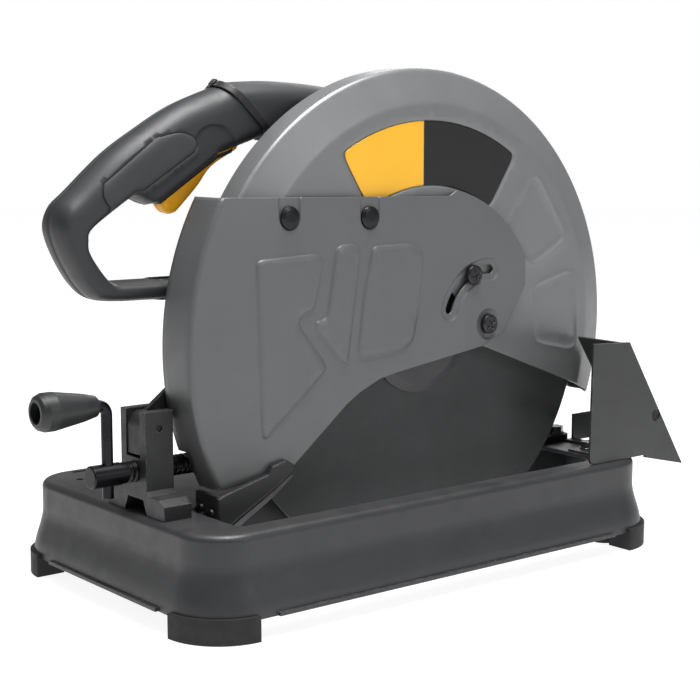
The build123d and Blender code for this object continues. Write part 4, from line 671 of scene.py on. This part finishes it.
RIVETS = [(-104.5, 273.5), (-32, 271.5)]
SEATS = [divided([(y - 9.5, 300)] + arc((y, z), 9.5, 180, 360, 1.8) + [(y + 9.5, 300)], 2.0)
         for y, z in RIVETS]
SLOT = (PIVOT, 43.0, 7.0, 87.0, 161.0)
SLOT_HOLE = slot_line(*SLOT)
SLOT_RIM = slot_line(PIVOT, 43.0, 19.0, 87.0, 161.0)
PIVOT_SEAT = np.array(arc(PIVOT, 12.5, 0, 360, 1.8)[:-1])


def cover_height(p):
    x = face_of(p, COVER_X[1], COVER_X[2], COVER_R, COVER_FACE_R)
    for panel in PANELS:
        x += 1.5 * step_at(signed(p, panel) + 0.4, 1.9)
    seats = np.max([signed(p, seat) for seat in SEATS], 0)
    x -= 1.5 * step_at(seats, 1.7)
    return x - 1.4 * step_at(np.maximum(signed(p, SLOT_RIM), signed(p, PIVOT_SEAT)), 1.8)


cover_rows = [row for panel in PANELS for row in offsets(panel, (-1.2, -0.4, 0.1, 0.6, 1.1, 1.6, 2.6))]
cover_rows += [row for seat in SEATS for row in offsets(seat, (-0.4, 0.0, 0.45, 0.9, 1.35, 1.8))]
cover_rows += offsets(SLOT_RIM, (-0.4, 0.1, 0.6, 1.2, 1.9)) + offsets(PIVOT_SEAT, (-0.4, 0.1, 0.6, 1.2, 1.9))
cover_rows += offsets(SLOT_HOLE, (-0.9, 0.0))
cover_rows += [np.array(arc(ARBOR, COVER_FACE_R + d, 140, 212)) for d in (-3.5, -1.5, 0, 1.5, 3.5)]
cover = guard_mesh("front_guard_skin", COVER_LINE, cover_height, cover_rows, [SLOT_HOLE],
                   (COVER_R, 150.15, 206.49, (51.0, 43.0, COVER_LOW_X, 30.0, COVER_X[0]),
                    lambda z, x: z > 109 or x > COVER_LOW_X - 0.5))
thicken(piece("front_guard_skin", cover, "front_guard", "front_guard_paint", "front_guard"), 2.0)

# the shoe's raised face, and the lip turned in under it
SHOE_X = COVER_X[2] + 3.3
SHOE_FACE = cut_corners([(-106.2, 93.6), (-105.2, 98), (-112, 102.2), (-124, 99.2), (-128, 93.7),
                         (-166, 84.2), (-170.4, 82), (-170.4, 62.8), (-164, 60.0), (-151, 67.4),
                         (-122, 83.4)], 1.2)
SHOE_CREASE = np.array([(-170.4, 61.6), (-164, 58.9), (-151, 66.3), (-122, 82.3), (-106, 92.6)])
SHOE_LIP = divided([(-170.4, 61.6), (-166.0, 57.0), (-160.5, 54.6), (-149, 60.2), (-120.5, 76.8),
                    (-104.4, 89.0), (-106, 92.6), (-122, 82.3), (-151, 66.3), (-164, 58.9)], 2.0)


def shoe_height(p):
    edge = to_segments(p, SHOE_FACE)[0].min(1)
    return SHOE_X + 1.1 * np.sqrt(1 - (1 - np.clip(edge / 1.6, 0, 1)) ** 2)


def lip_height(p):
    away = to_segments(p, np.vstack([SHOE_CREASE, SHOE_CREASE[-2:0:-1]]))[0].min(1)
    return SHOE_X + 0.5 - 3.6 * np.clip(away / 6.5, 0, 1)


for name, line, height, rings in (("shoe_face", SHOE_FACE, shoe_height, (0.3, 0.8, 1.6)),
                                  ("shoe_lip", SHOE_LIP, lip_height, (1.0,))):
    mesh = sheet_mesh(name, line, height, 4.0, rings)
    face_out(mesh, 1)
    thicken(piece(name, mesh, "front_guard", "shoe_plastic"), 1.4)

# ---------------------------------------------------------------- neck collar and arm shroud
NECK_TOP, NECK_LOW = np.array((-122.5, 365.3)), np.array((-86.0, 329.0))
COLLAR_LINE = divided([(-124.6, 367.4), (-84.0, 327.0), (-80.2, 330.8), (-120.8, 371.0)][::-1], 1.2)
SHROUD_LINE = rounded_line([(y, z, r) for y, z, r in [
    (-118.7, 368.2, 14), (-118.7, 368.2, 14), (-76, 370.2, 14), (-30, 367.5, 14), (8, 361, 14), (34, 345, 14),
    (52, 306, 14), (52, 306, CUT), (46, 296, CUT), (46, 296, 8), (-40, 296, 8), (-40, 296, 8), (-52, 318, 8),
    (-80.8, 331.2, 8), (-80.8, 331.2, CUT), (-118.7, 368.2, CUT)]])[::-1]


def neck_section(p, half, spare):
    """The handle's rounded section at the neck, as a height over the line across it."""
    along = (p - NECK_TOP) @ ((NECK_LOW - NECK_TOP) / np.hypot(*(NECK_LOW - NECK_TOP)))
    length = np.hypot(*(NECK_LOW - NECK_TOP))
    top = np.clip((along + spare) / (TOP + spare), 0, 1)
    low = np.clip((length + spare - along) / (9 + spare), 0, 1)
    return half * np.sqrt(1 - (1 - np.minimum(top, low)) ** 2)


for side, tag in ((1, "right"), (-1, "left")):
    def collar_height(p, side=side):
        return HANDLE_X + side * neck_section(p, 20.4, 1.4)

    def shroud_height(p, side=side):
        return HANDLE_X + side * crown(p, SHROUD_LINE, 20.0)

    for name, line, height, node, finish, wall in (
            ("collar", COLLAR_LINE, collar_height, "neck_collar", "collar_plastic", 2.6),
            ("shroud", SHROUD_LINE, shroud_height, "arm_shroud", "handle_plastic", 2.4)):
        rings = (0.25, 0.9, 2.0, 3.6, 5.8, 8.5, 12) if name == "shroud" else (0.6, 1.5)
        mesh = sheet_mesh(name + "_" + tag, line, height, 4.0 if name == "shroud" else 1.5, rings)
        face_out(mesh, side)
        thicken(piece(name + "_shell_" + tag, mesh, "head", finish, node), wall)

# ---------------------------------------------------------------- floor
floor_mesh = bpy.data.meshes.new("floor")
shape = bmesh.new()
bmesh.ops.create_circle(shape, cap_ends=True, segments=96, radius=6.0)
shape.to_mesh(floor_mesh)
shape.free()
floor = bpy.data.objects.new("floor", floor_mesh)
floor.location.z = -0.0004
SCENE.collection.objects.link(floor)
floor_shader = Shader("floor_sweep")
floor_shader.set(Base_Color=linear(150, 150, 150), Roughness=0.8, Emission_Color=(1, 1, 1, 1),
                 Emission_Strength=0.9)
floor.data.materials.append(floor_shader.material)
